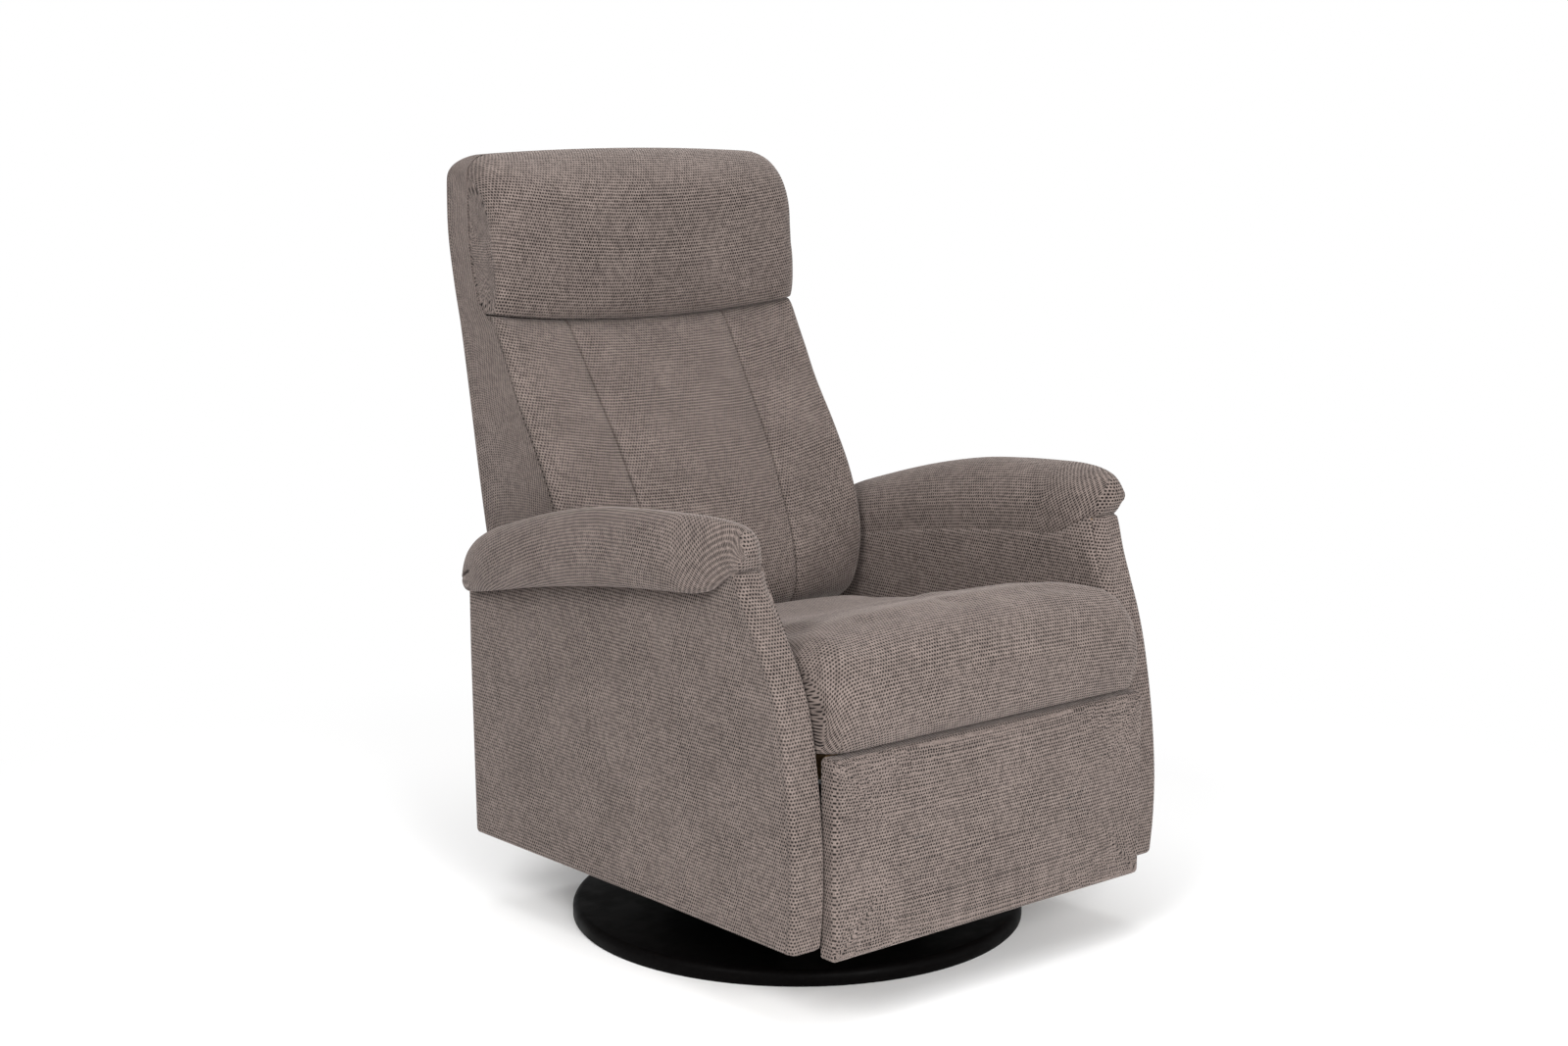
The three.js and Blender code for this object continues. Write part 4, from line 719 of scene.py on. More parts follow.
class Stitches:
    """Rows of stitches along sewn lines, laid by Geometry Nodes and kept as a plain mesh.

    Args:
        thread: Material of the thread.
        pitch: Distance between stitches, in metres.
        length: Length of one stitch.
        radius: Radius of the thread.
    """

    def __init__(self, thread: bpy.types.Material, pitch: float = 0.0042, length: float = 0.0034,
                 radius: float = 0.00042) -> None:
        self.thread = thread
        self.sizes = {"Pitch": pitch, "Length": length, "Radius": radius}
        self.tree = self.rows()

    def rows(self) -> bpy.types.NodeTree:
        """Returns the tree that lays one stitch at each step along every line."""
        tree = bpy.data.node_groups.new("stitch_rows", "GeometryNodeTree")
        sockets = tree.interface
        sockets.new_socket(name="Lines", in_out="INPUT", socket_type="NodeSocketGeometry")
        for name, value in self.sizes.items():
            sockets.new_socket(name=name, in_out="INPUT", socket_type="NodeSocketFloat").default_value = value
        sockets.new_socket(name="Seed", in_out="INPUT", socket_type="NodeSocketInt").default_value = 11
        sockets.new_socket(name="Stitches", in_out="OUTPUT", socket_type="NodeSocketGeometry")
        given = tree.nodes.new("NodeGroupInput").outputs

        def add(kind: str, inputs: dict[object, object], **settings: object) -> bpy.types.Node:
            """Adds one node, with its inputs linked or set."""
            node = tree.nodes.new(kind)
            for key, value in settings.items():
                setattr(node, key, value)
            for key, value in inputs.items():
                if isinstance(value, bpy.types.NodeSocket):
                    tree.links.new(value, node.inputs[key])
                else:
                    node.inputs[key].default_value = value
            return node
        curve = add("GeometryNodeMeshToCurve", {0: given["Lines"]})
        steps = add("GeometryNodeResampleCurve", {"Curve": curve.outputs[0], "Length": given["Pitch"]},
                    mode="LENGTH")
        way = add("GeometryNodeInputTangent", {})
        turn = add("FunctionNodeAlignRotationToVector", {"Vector": way.outputs[0]}, axis="Z")
        half = add("ShaderNodeMath", {0: given["Length"], 1: 0.5}, operation="MULTIPLY")
        uneven = add("FunctionNodeRandomValue", {"Min": 0.9, "Max": 1.06, "Seed": given["Seed"]},
                     data_type="FLOAT")
        reach = add("ShaderNodeMath", {0: half.outputs[0], 1: uneven.outputs["Value"]}, operation="MULTIPLY")
        size = add("ShaderNodeCombineXYZ", {0: given["Radius"], 1: given["Radius"], 2: reach.outputs[0]})
        stitch = add("GeometryNodeMeshUVSphere", {"Segments": 8, "Rings": 6, "Radius": 1.0})
        laid = add("GeometryNodeInstanceOnPoints", {"Points": steps.outputs[0], "Instance": stitch.outputs[0],
                                                    "Rotation": turn.outputs[0], "Scale": size.outputs[0]})
        real = add("GeometryNodeRealizeInstances", {0: laid.outputs[0]})
        even = add("GeometryNodeSetShadeSmooth", {0: real.outputs[0]})
        done = add("GeometryNodeSetMaterial", {"Geometry": even.outputs[0], "Material": self.thread})
        out = tree.nodes.new("NodeGroupOutput")
        tree.links.new(done.outputs[0], out.inputs[0])
        return tree

    def lay(self, name: str, body: str, lines: Sequence[Sequence[Point]]) -> bpy.types.Object:
        """Lays stitches along lines and dresses them.

        Args:
            name: Name of the piece.
            body: CAD body that it rides on.
            lines: Sewn lines, each a run of points.

        Returns:
            The stitches as one plain mesh.
        """
        points, edges = [], []
        for line in lines:
            start = len(points)
            points += [tuple(point) for point in line]
            edges += [(start + index, start + index + 1) for index in range(len(line) - 1)]
        mesh = bpy.data.meshes.new(name)
        mesh.from_pydata(points, edges, [])
        item = bpy.data.objects.new(name, mesh)
        bpy.context.scene.collection.objects.link(item)
        item.modifiers.new("rows", "NODES").node_group = self.tree
        baked(item)
        return dressed(item, body, [], self.thread)


class Base:
    """Round wooden base with a rounded upper edge.

    Args:
        sizes: Sizes of the disc.
        finish: Wood finish.
    """

    def __init__(self, sizes: BaseSizes, finish: bpy.types.Material) -> None:
        self.sizes = sizes
        self.finish = finish

    def build(self) -> None:
        """Builds the disc."""
        size = self.sizes
        steps = 160
        inner, upper = size.radius - size.edge, size.height - size.edge
        outline = [(0.0, 0.0), (size.radius - size.foot, 0.0), (size.radius, size.foot), (size.radius, upper)]
        outline += [(inner + size.edge * math.cos(angle), upper + size.edge * math.sin(angle))
                    for angle in spread(0, math.pi / 2, 9)[1:]]
        outline += [(size.radius * share, size.height) for share in (0.9, 0.6, 0.3)]
        points = [(radius * math.cos(turn), radius * math.sin(turn), z)
                  for turn in spread(0, math.tau, steps + 1)[:-1] for radius, z in outline[1:]]
        count = len(outline) - 1
        top, low = len(points), len(points) + 1
        points += [(0.0, 0.0, size.height), (0.0, 0.0, 0.0)]
        faces = []
        for step in range(steps):
            a, b = step * count, ((step + 1) % steps) * count
            faces += [(a + place, b + place, b + place + 1, a + place + 1) for place in range(count - 1)]
            faces += [(a + count - 1, b + count - 1, top), (b, a, low)]
        coords = [[(points[index][0], points[index][1]) for index in face] for face in faces]
        item = mesh_object("base_disc_wood", points, faces, coords)
        item.data.set_sharp_from_angle(angle=math.radians(50))
        dressed(item, "base", ["base_disc"], self.finish)


class Arms:
    """Both upholstered arms: pad, outer and inner covers and front band.

    Args:
        sizes: Sizes of one arm.
        fabric: Cover cloth.
        stitches: Layer of stitches.

    Attributes:
        SLIT: Depth, place and reach of the opening at the rear end of the pad's seam.
        END_TILT: How far a pad's face looks along the arm where its ends are mapped flat.
        END_REACH: Length of the rear end.
        NOSE_REACH: Where the nose starts, from the middle.
        WALL: Thickness of the covers.
    """

    SLIT = ((0.013, 0.045, 0.018), (0.008, 0.02, 0.022))
    END_TILT = 0.62
    END_REACH = 0.04
    NOSE_REACH = 0.24
    WALL = 0.011

    def __init__(self, sizes: ArmSizes, fabric: bpy.types.Material, stitches: Stitches) -> None:
        self.sizes = sizes
        self.fabric = fabric
        self.stitches = stitches
        self.notch_y = -sizes.front_reach * ARM_FRONT.at(1)
        self.rear_low = sizes.notch_z - 0.25 * (sizes.notch_z - sizes.bottom_z) - 0.0003

    def front_y(self, z: float) -> float:
        """Returns the front edge's place at a height."""
        size = self.sizes
        return -size.front_reach * ARM_FRONT.at((z - size.bottom_z) / (size.notch_z - size.bottom_z))

    def rounding(self, z: float, outward: float) -> Flat:
        """Returns how far the front edge's rounding reaches across X and back along Y at a height."""
        rise = unit((z - 0.40) / 0.155)
        if outward > 0:
            return 0.006 + 0.003 * rise ** 2, 0.007 + 0.005 * rise ** 2
        return 0.005 + 0.028 * rise ** 1.6, 0.006 + 0.054 * rise ** 1.6

    @staticmethod
    def flare(z: float) -> float:
        """Returns how far the outer face swings out at the front edge, at a height."""
        return 0.013 * unit((z - 0.36) / 0.195) ** 2

    def low_z(self, y: float) -> float:
        """Returns the height of the outer cover's lower edge, which drops a little towards the rear."""
        return self.sizes.bottom_z - 0.004 * unit((y + 0.10) / 0.42)

    def draw(self, depth: float, z: float, outward: float) -> float:
        """Returns how far a face draws in at a depth behind the front edge."""
        across, back = self.rounding(z, outward)
        share = unit(1 - depth / back)
        return across * (1 - math.sqrt(1 - share * share))

    def pad_low(self, y: float) -> float:
        """Returns the height of the pad's underside at a place along the arm."""
        size = self.sizes
        share = (size.rear_y - y) / (size.rear_y - self.notch_y)
        return self.rear_low + (size.notch_z - self.rear_low) * PAD_BOTTOM.at(share)

    def pad_ring(self, share: float) -> list[Flat]:
        """Returns the pad's outline across X and Z at a share of its length from the rear."""
        size = self.sizes
        y = size.rear_y - share * (size.rear_y + size.nose_reach)
        crest = size.bottom_z + (size.crest_z - size.bottom_z) * (1 - 0.3 * (1 - PAD_CREST.at(share)))
        lift = max(0.0, self.notch_y - y) / (size.nose_reach + self.notch_y)
        low = self.pad_low(max(y, self.notch_y)) + lift * (crest - self.pad_low(self.notch_y)) * 0.52
        outer = size.outer_x + (size.pad_outer_x - size.outer_x) * PAD_OUTER.at(share)
        height = crest - low
        crest_share = (size.crest_x - size.inner_x) / (size.pad_outer_x - size.inner_x)
        crest_x = size.inner_x + (outer - size.inner_x) * crest_share
        inner_x = size.inner_x + (crest_x - size.inner_x) * PAD_INNER.at(share)
        drop = height * 0.72
        belly = low + height * 0.42
        inner = [(crest_x - (crest_x - inner_x) * math.cos(a), crest - drop + drop * math.sin(a))
                 for a in spread(0, math.pi / 2, 18)]
        over = [(crest_x + (outer - crest_x) * math.cos(a), belly + (crest - belly) * math.sin(a))
                for a in (*spread(math.pi / 2, 0.16, 18)[1:], 0.10, 0.06, 0.035, 0.018, 0)]
        tuck = min(outer - crest_x, belly - low)
        under = [(outer - tuck * 0.8 * (1 - math.cos(a)), belly - (belly - low) * math.sin(a))
                 for a in (0.03, 0.06, 0.1, 0.16, *spread(0.28, math.pi / 2, 9))]
        seam = 0.0011 * min(1.0, share / 0.05) * unit((0.86 - share) / 0.2)
        slit = sum(depth * max(0.0, 1 - abs(share - at) / reach) for depth, at, reach in self.SLIT)
        over = [(x - self.pull(z - belly, seam, slit), z) for x, z in over]
        under = [(x - self.pull(z - belly, seam, slit), z) for x, z in under]
        tail = 0.014 * unit((0.88 - share) / 0.05)
        base = [(under[-1][0] + (inner_x + 0.0003 - under[-1][0]) * t, low - tail * max(0.0, t - 0.6) / 0.4)
                for t in spread(0, 1, 9)[1:]]
        inner = [(x + 0.0003, z) for x, z in inner]
        return [*base[4:], *inner, *over, *under, *base[:4]]

    @staticmethod
    def pull(height: float, seam: float, slit: float) -> float:
        """Returns how far the pad's side seam and its open end draw the cover in at a height from the seam."""
        return seam * math.exp(-abs(height) / 0.0022) + slit * max(0.0, 1 - abs(height) / 0.0024)

    def pad(self, side: Side) -> None:
        """Builds one arm pad as a full, rounded cover."""
        size = self.sizes
        shares = [0, .003, .008, .014, .02, .027, .034, .04, .045, .05, .055, .06, .064, *spread(.075, .9, 46),
                  .915, .93, .945, .957, .967, .976, .984, .991, .996, 1]
        rings = [[(side.value * x, size.rear_y - share * (size.rear_y + size.nose_reach), z)
                  for x, z in self.pad_ring(share)] for share in shares]

        def across(point: Vector) -> Flat:
            """Maps a point flat across the arm."""
            return point.x, point.z
        item = Skin(f"arm_pad_cover_{side.word}", rings, middle=30, cap_uv=across).build()
        near_end = size.rear_y - self.END_REACH
        remapped(item, lambda face: across if abs(face.normal.y) > self.END_TILT
                 and not -self.NOSE_REACH <= face.center.y <= near_end else None)
        subdivided(item)
        dressed(item, "chassis", [f"arm_pad_{side.word}"], self.fabric)

    def rear_at(self, z: float) -> float:
        """Returns the padded rear edge's place at a height."""
        rise = unit((z - self.sizes.bottom_z) / 0.35)
        return self.sizes.rear_y + 0.010 + 0.006 * rise

    def panel(self, side: Side, name: str, x: float, outward: float,
              low: Callable[[float], float]) -> bpy.types.Object:
        """Builds a flat sewn panel between the band, the pad, the rear edge and a lower edge.

        Args:
            side: Side of the recliner.
            name: Piece name.
            x: Distance of the panel's face from the middle plane.
            outward: 1 where the face looks away from the middle plane, -1 where it looks towards it.
            low: Height of the lower edge at a place along the arm.

        Returns:
            The panel.
        """
        size = self.sizes
        meet = size.notch_z
        for _ in range(40):
            meet = self.pad_low(self.front_y(meet) + size.band) - 0.0003
        columns = [0, .006, .014, .026, .045, .07, *spread(.1, .9, 30), .94, .965, .98, .99, .996, 1]
        turn = (size.outer_x - size.inner_x - 2 * size.edge) if outward > 0 else 0.0
        wraps = [0.0] * len(columns) + [turn * share for share in (0.04, 0.15, 0.4, 0.6, 0.85, 0.96, 1) if turn]
        columns += [1] * (len(wraps) - len(columns))
        rows = [0, .006, .014, .028, .05, *spread(.08, 1, 26)]
        points, coords = [], []
        for row in rows:
            z_front = low(self.notch_y) + row * (meet - low(self.notch_y))
            y_front = self.front_y(z_front) + size.band
            for column, wrap in zip(columns, wraps):
                y = y_front + column * (self.rear_at(z_front) - y_front)
                top = self.pad_low(y) if y > self.front_y(meet) + size.band else meet
                z = low(y) + row * (top + 0.004 - low(y))
                draw = (self.draw(y - self.front_y(z_front), z_front, outward) + inset_of(z - low(y), size.edge)
                        + inset_of(self.rear_at(z_front) - y, size.edge))
                swell = 0.0022 * math.sin(math.pi * column) * math.sin(math.pi * min(1, row * 1.02))
                if outward > 0:
                    swell += self.flare(z_front) * max(0.0, 1 - column / 0.35) ** 2
                puff = 0.003 * math.sin(math.pi * wrap / turn) if wrap else 0.0
                points.append((side.value * (x + outward * (swell - draw - wrap)), y + puff, z))
                coords.append((y + wrap, z))
        flip = side.value * outward < 0
        return padded_sheet(f"{name}_{side.word}", points, coords, len(rows), flip, self.WALL)

    def band(self, side: Side) -> None:
        """Builds the front band, which follows the arm's front edge."""
        size = self.sizes
        rings = []
        for z in spread(size.bottom_z, size.notch_z - 0.001, 64):
            y = self.front_y(z)
            slope = (self.front_y(z + 0.002) - self.front_y(z - 0.002)) / 0.004
            way = Vector((0, 1, -slope)).normalized()
            rings.append([(side.value * x, y + way.y * depth, z + way.z * depth)
                          for x, depth in self.band_outline(z)])
        item = Skin(f"arm_band_cover_{side.word}", rings, cap_uv=lambda point: (point.x, point.y)).build()
        for corner in item.data.uv_layers[0].data:
            corner.uv = (corner.uv[1], corner.uv[0])
        subdivided(item)
        dressed(item, "chassis", [f"arm_front_band_{side.word}"], self.fabric)

    def band_outline(self, z: float) -> list[Flat]:
        """Returns the band's outline at a height, as places across X and depths behind the front edge."""
        size = self.sizes
        depths = [(size.band + 0.0005) * step * step for step in spread(1, 0, 10)]
        inner = [(size.inner_x + self.draw(depth, z, -1), depth) for depth in depths]
        outer = [(size.outer_x + self.flare(z) - self.draw(depth, z, 1), depth) for depth in depths[::-1]]
        face = [(x, 0.0) for x in spread(inner[-1][0], outer[0][0], 9)[1:-1]]
        rear = [(x, depths[0]) for x in spread(outer[-1][0], inner[0][0], 6)[1:-1]]
        return [*inner, *face, *outer, *rear]

    def band_seams(self, side: Side) -> list[list[Point]]:
        """Returns the sewn line where the band meets the outer cover."""
        size = self.sizes
        heights = spread(size.bottom_z + 0.012, size.notch_z - 0.060, 60)
        return [[(side.value * (size.outer_x + self.flare(z) - 0.0002 - self.draw(size.band, z, 1)),
                  self.front_y(z) + size.band, z) for z in heights]]

    def build(self) -> None:
        """Builds both arms."""
        size = self.sizes
        for side in Side:
            self.stitches.lay(f"arm_band_stitches_{side.word}", "chassis", self.band_seams(side))
            self.pad(side)
            self.band(side)
            outer = self.panel(side, "arm_outer_panel", size.outer_x, 1, self.low_z)
            dressed(outer, "chassis", [f"arm_outer_cover_{side.word}"], self.fabric)
            inner = self.panel(side, "arm_inner_panel", size.inner_x, -1,
                               lambda y: 0.292 - y * math.tan(math.radians(7.5)))
            dressed(inner, "chassis", [f"arm_inner_cover_{side.word}"], self.fabric)


class Seat:
    """Seat cushion with a rolled front edge and sewn side pieces.

    Args:
        sizes: Sizes of the cushion.
        fabric: Cover cloth.

    Attributes:
        FOLDS: Ends and height of each soft fold in the cloth.
        FOLD_REACH: How far a fold reaches to its sides.
        PUCKER: Ends of the short crease at each front corner, on the left side.
        SIDE_SEAM: Distance of the side seam from the side.
        EDGE_STEPS: Distances from the side at which the mesh has a line.
    """

    FOLDS = (((0.150, -0.268, 0), (0.050, -0.217, 0), 0.0034),
             ((0.050, -0.217, 0), (-0.020, -0.178, 0), 0.0036),
             ((-0.060, -0.186, 0), (-0.190, -0.200, 0), 0.0026))
    FOLD_REACH = 0.020
    PUCKER = ((0.279, -0.352, 0.458), (0.252, -0.392, 0.425))
    SIDE_SEAM = 0.0166
    EDGE_STEPS = (0, .0006, .0016, .0032, .0055, .0085, .012, .0145, .0158, SIDE_SEAM, .0174, .0187, .022,
                  .028, .036)

    def __init__(self, sizes: SeatSizes, fabric: bpy.types.Material) -> None:
        self.sizes = sizes
        self.fabric = fabric

    def top(self, y: float) -> float:
        """Returns the cushion's upper height at a place along the seat, before its crown."""
        size = self.sizes
        share = (size.rear - y) / (size.rear + size.front_reach)
        return size.rear_z + (size.front_z - size.rear_z) * SEAT_TOP.at(share)

    def ring(self, x: float) -> list[Flat]:
        """Returns the outline along Y and Z at a place across the seat."""
        size = self.sizes
        edge = size.half_width - abs(x)
        inset = inset_of(edge, size.side_radius)
        crown = size.crown * (1 - (abs(x) / size.half_width) ** 2.6)
        front = size.front_reach - inset * 0.75
        rear = size.rear - inset * 0.5
        tops = [(y, self.top(y) + crown - inset) for y in spread(rear, -front + size.nose_radius, 44)]
        nose_y, nose_z = tops[-1]
        nose = [(nose_y - size.nose_radius * math.sin(a), nose_z - size.nose_radius * (1 - math.cos(a)))
                for a in spread(0, math.pi / 2, 18)[1:]]
        low = nose_z - size.nose_radius
        belly = [(-front + 0.009 * t ** 3, low + (size.underside_z + 0.006 - low) * t)
                 for t in spread(0, 1, 16)[1:]]
        hem = [(-front + 0.012, size.underside_z + 0.002), (-front + 0.020, size.underside_z)]
        unders = [(y, size.plane_z - y * math.tan(size.slope) + 0.0047)
                  for y in spread(-front + 0.045, rear - 0.005, 24)]
        return [*tops, *nose, *belly, *hem, *unders]

    def worn(self, x: float, y: float, z: float) -> Point:
        """Adds the sat-in hollow, the soft fold before it, the corner pucker and the side seams to a point."""
        size = self.sizes
        if z > self.top(y) - 0.03 and y > -0.34:
            hollow = math.exp(-((x - 0.03) / 0.17) ** 2 - ((y + 0.03) / 0.10) ** 2)
            z -= 0.010 * hollow
            for start, end, height in self.FOLDS:
                away = span_distance(Vector((x, y, 0)), Vector(start), Vector(end))
                z += height * math.exp(-(away / self.FOLD_REACH) ** 2)
        for side in (-1, 1):
            start, end = (Vector((side * place[0], *place[1:])) for place in self.PUCKER)
            corner = span_distance(Vector((x, y, z)), start, end)
            x -= side * (0.005 if side < 0 else 0.002) * math.exp(-(corner / 0.006) ** 2)
        on_front = unit((0.43 - z) / 0.03) * (1.0 if y < -0.34 else 0.0)
        y += 0.0024 * on_front * max(0.0, 1 - abs(abs(x) - size.half_width + self.SIDE_SEAM) / 0.0014)
        return x, y, z

    def build(self) -> None:
        """Builds the cushion and swells it."""
        size = self.sizes
        half = size.half_width
        ends = [half - value for value in self.EDGE_STEPS]
        xs = [-x for x in ends] + spread(-half + 0.045, half - 0.045, 60) + ends[::-1]
        rings = [[self.worn(x, y, z) for y, z in self.ring(x)] for x in xs]
        item = Skin("seat_cushion_cover", rings, middle=len(xs) // 2, origin=60).build()

        def hold(point: Vector) -> float:
            """Returns how firmly the seat's cover is held at a point."""
            if point.z < size.underside_z + 0.01 or abs(point.x) > half - 0.004 or point.y > size.rear - 0.02:
                return 1.0
            return 0.0
        Filling(pressure=3.0, cap=0.005).swell(item, hold)
        subdivided(item)
        dressed(item, "seat", ["seat_cushion"], self.fabric)


class Back:
    """Back: rear cover, body cushion in three sewn panels, and headrest.

    Args:
        sizes: Sizes of the back.
        fabric: Cover cloth.
        stitches: Layer of stitches.
    """

    def __init__(self, sizes: BackSizes, fabric: bpy.types.Material, stitches: Stitches) -> None:
        self.sizes = sizes
        self.fabric = fabric
        self.stitches = stitches
        self.knots = [sizes.bottom_z + share * (sizes.top_z - sizes.bottom_z) for share in SPLIT_SHARES]

    def rear_y(self, z: float) -> float:
        """Returns the rear face's place at a height."""
        size = self.sizes
        return size.rear_reach * BACK_REAR.at((z - size.bottom_z) / (size.top_z - size.bottom_z))

    def split_y(self, z: float) -> float:
        """Returns where the rear cover and the cushions meet at a height."""
        cell = 0
        while cell < len(self.knots) - 2 and self.knots[cell + 1] < z:
            cell += 1
        low, high = self.knots[cell], self.knots[cell + 1]
        share = (z - low) / (high - low)
        return self.rear_y(low) * (1 - share) + self.rear_y(high) * share - self.sizes.shell_depth

    def top_z(self, x: float, shoulder: float) -> float:
        """Returns the height of the top edge at a place across the back, for a shoulder radius."""
        size = self.sizes
        share = abs(x) / size.half_width
        return size.top_z - size.top_crown * share * share - inset_of(size.half_width - abs(x), shoulder)

    def neck(self, x: float) -> float:
        """Returns the height of the neck seam at a place across the back."""
        size = self.sizes
        return size.neck_z - size.neck_sag * (1 - min(1.0, abs(x) / size.half_width) ** 2)

    def stations(self) -> list[tuple[float, float]]:
        """Returns places across the back with the draw of the front's rounded edge, seam groove included."""
        half, radius = self.sizes.half_width, 0.014
        arc = [(half - radius * (1 - math.sin(a)), radius * (1 - math.cos(a)))
               for a in spread(0, math.pi / 2, 8)]
        groove = [(half - 0.0022, radius + 0.0008), (half - 0.0004, radius + 0.0030)]
        inner = self.sizes.seam_share * half
        steps = (.012, .007, .004, .002, .0008)
        near = [inner - step for step in steps] + [inner] + [inner + step for step in steps[::-1]]
        outer = spread(inner + 0.018, half - radius - 0.006, 11)
        plain = [(x, 0.0) for x in [*spread(0.008, inner - 0.018, 13), *near, *outer]]
        right = [*plain, *arc, *groove]
        return [(-x, draw) for x, draw in right[::-1]] + [(0.0, 0.0)] + right

    def panel_x(self, x: float, height_share: float) -> tuple[float, float]:
        """Moves a station so that one station follows the panel seam, and tells the distance from the seam."""
        size = self.sizes
        half = size.half_width
        seam = size.seam_low_x + (size.seam_top_x - size.seam_low_x) * height_share
        at = abs(x) / half
        if at < size.seam_share:
            moved = seam * at / size.seam_share
        else:
            moved = seam + (half - seam) * (at - size.seam_share) / (1 - size.seam_share)
        return math.copysign(moved, x), abs(moved - seam)

    def body_ring(self, x: float, draw: float) -> list[Point]:
        """Returns the body cushion's outline at a station."""
        size = self.sizes
        top = self.neck(x) - 0.0015
        low = size.cushion_bottom_z + 0.010
        across = abs(x) / size.half_width
        ring = []
        front = []
        for t in spread(0, 1, 64):
            share = t ** 1.15
            z = low + (top - low) * share
            thick = LUMBAR.at(share) + (WING.at(share) - LUMBAR.at(share)) * across ** 2.6
            moved, distance = self.panel_x(x, share)
            groove = 0.0085 * max(0.0, 1 - distance / 0.0018) + 0.0036 * math.exp(-(distance / 0.010) ** 1.3)
            close = 0.007 * (1 - 0.6 * across ** 3) * max(0.0, 1 - (top - z) / 0.012) ** 2.2
            y = self.split_y(z) - size.cushion_depth * thick + groove + draw + close
            front.append((moved, min(y, self.split_y(z) - 0.0025), z))
        seam_y = self.split_y(top)
        ring += front
        ring += [(front[-1][0], front[-1][1] + (seam_y - front[-1][1]) * t, top) for t in (0.15, 0.4, 0.7)]
        for t in spread(0, 1, 20):
            z = top + (size.cushion_bottom_z - top) * t
            ring.append((self.panel_x(x, max(0.0, 1 - t))[0], self.split_y(z) - 0.0003, z))
        foot = self.split_y(size.cushion_bottom_z)
        ring += [(front[0][0], foot + (front[0][1] - foot) * t, size.cushion_bottom_z + 0.006 * t)
                 for t in (0.3, 0.6, 0.88)]
        return ring

    def head_ring(self, x: float, draw: float) -> list[Point]:
        """Returns the headrest's outline at a station."""
        size = self.sizes
        low = self.neck(x) + 0.0008
        top = self.top_z(x, size.shoulder_radius)
        groove = max(0.0, draw - 0.014)
        across = abs(x) / size.half_width
        radius = min(size.headrest_radius, (top - low) * 0.5)
        front = []
        for t in spread(0, 1, 34):
            z = low + (top - radius - low) * t
            side = 0.20 * across ** 2 * (1 - t) ** 2
            thick = 0.003 + size.headrest_depth * (side + HEADREST.at(t * (1 - radius / (top - low))))
            close = 0.006 * (1 - 0.6 * across ** 3) * max(0.0, 1 - (z - low) / 0.014) ** 2.2
            fullness = 0.40 + 0.34 * min(1.0, (z - low) / 0.09)
            inset = fullness * inset_of(size.half_width - abs(x), 0.040) + groove
            front.append((self.split_y(z) - max(thick - inset - close, 0.014), z))
        start_y, start_z = front[-1]
        top = self.top_z(x, size.rear_shoulder)
        rear_y = self.split_y(top) - 0.0003
        arc = [(rear_y + (start_y - rear_y) * math.cos(a), start_z + (top - start_z) * math.sin(a))
               for a in spread(0, math.pi / 2, 22)[1:]]
        rear = [(self.split_y(z) - 0.0003, z) for z in spread(top, low, 12)[1:]]
        seam = [(front[0][0] + (self.split_y(low) - front[0][0]) * t, low) for t in (0.75, 0.4, 0.12)]
        return [(x, y, z) for y, z in [*front, *arc, *rear, *seam]]

    def side_seam_y(self, z: float) -> float:
        """Returns where the side panel ends in front, at a height."""
        size = self.sizes
        share = (z - size.cushion_bottom_z - 0.010) / (size.neck_z - size.cushion_bottom_z - 0.010)
        front = self.split_y(z) - size.cushion_depth * WING.at(share) + 0.016
        foot = unit((z - size.cushion_bottom_z - 0.004) / 0.012)
        front = front * foot + (self.split_y(z) - 0.004) * (1 - foot)
        blend = unit((z - size.neck_z + 0.03) / 0.06)
        blend = blend * blend * (3 - 2 * blend)
        return min(front * (1 - blend) + (self.split_y(z) - 0.006) * blend, self.split_y(z) - 0.004)

    def half_at(self, z: float) -> float:
        """Returns the half width of the back at a height."""
        size = self.sizes
        reach = max(0.0, z - size.top_z + size.rear_shoulder)
        drawn = math.sqrt(max(0.0, size.rear_shoulder ** 2 - reach ** 2))
        return size.half_width - size.rear_shoulder + drawn

    def shell_slice(self, z: float) -> list[Point]:
        """Returns the rear cover's outline at a height: rear face, sides to their front seams, and inside."""
        size = self.sizes
        half = self.half_at(z) + 0.0008
        radius = 0.009
        round_y = inset_of(size.top_z - z, 0.044)
        height = (z - size.bottom_z) / (size.top_z - size.bottom_z)
        rear = self.rear_y(z) - round_y + 0.011 * math.exp(-((height - 0.46) / 0.23) ** 2)
        seam = self.side_seam_y(z)
        split = self.split_y(z) + 0.001
        side = [(half, seam + (rear - radius - seam) * t) for t in (0, 0.004, 0.015, *spread(0.05, 1, 14))]
        turn = [(half - radius * (1 - math.cos(a)), rear - radius * (1 - math.sin(a)))
                for a in spread(0, math.pi / 2, 9)[1:]]
        back = [(x, rear) for x in spread(half - radius, 0, 12)[1:]]
        right = [*side, *turn, *back]
        lap = [(half - 0.0040, seam + 0.0006), (half - 0.0055, max(seam + 0.004, split)), (half * 0.6, split),
               (0.0, split)]
        outer = [*right, *[(-x, y) for x, y in right[-2::-1]]]
        inner = [(-x, y) for x, y in lap[:-1]] + [lap[-1]] + lap[-2::-1]
        drop = size.top_crown * unit((z - size.top_z + 0.09) / 0.09) ** 2
        return [(x, y, z - drop * (x / size.half_width) ** 2) for x, y in [*outer, *inner]]

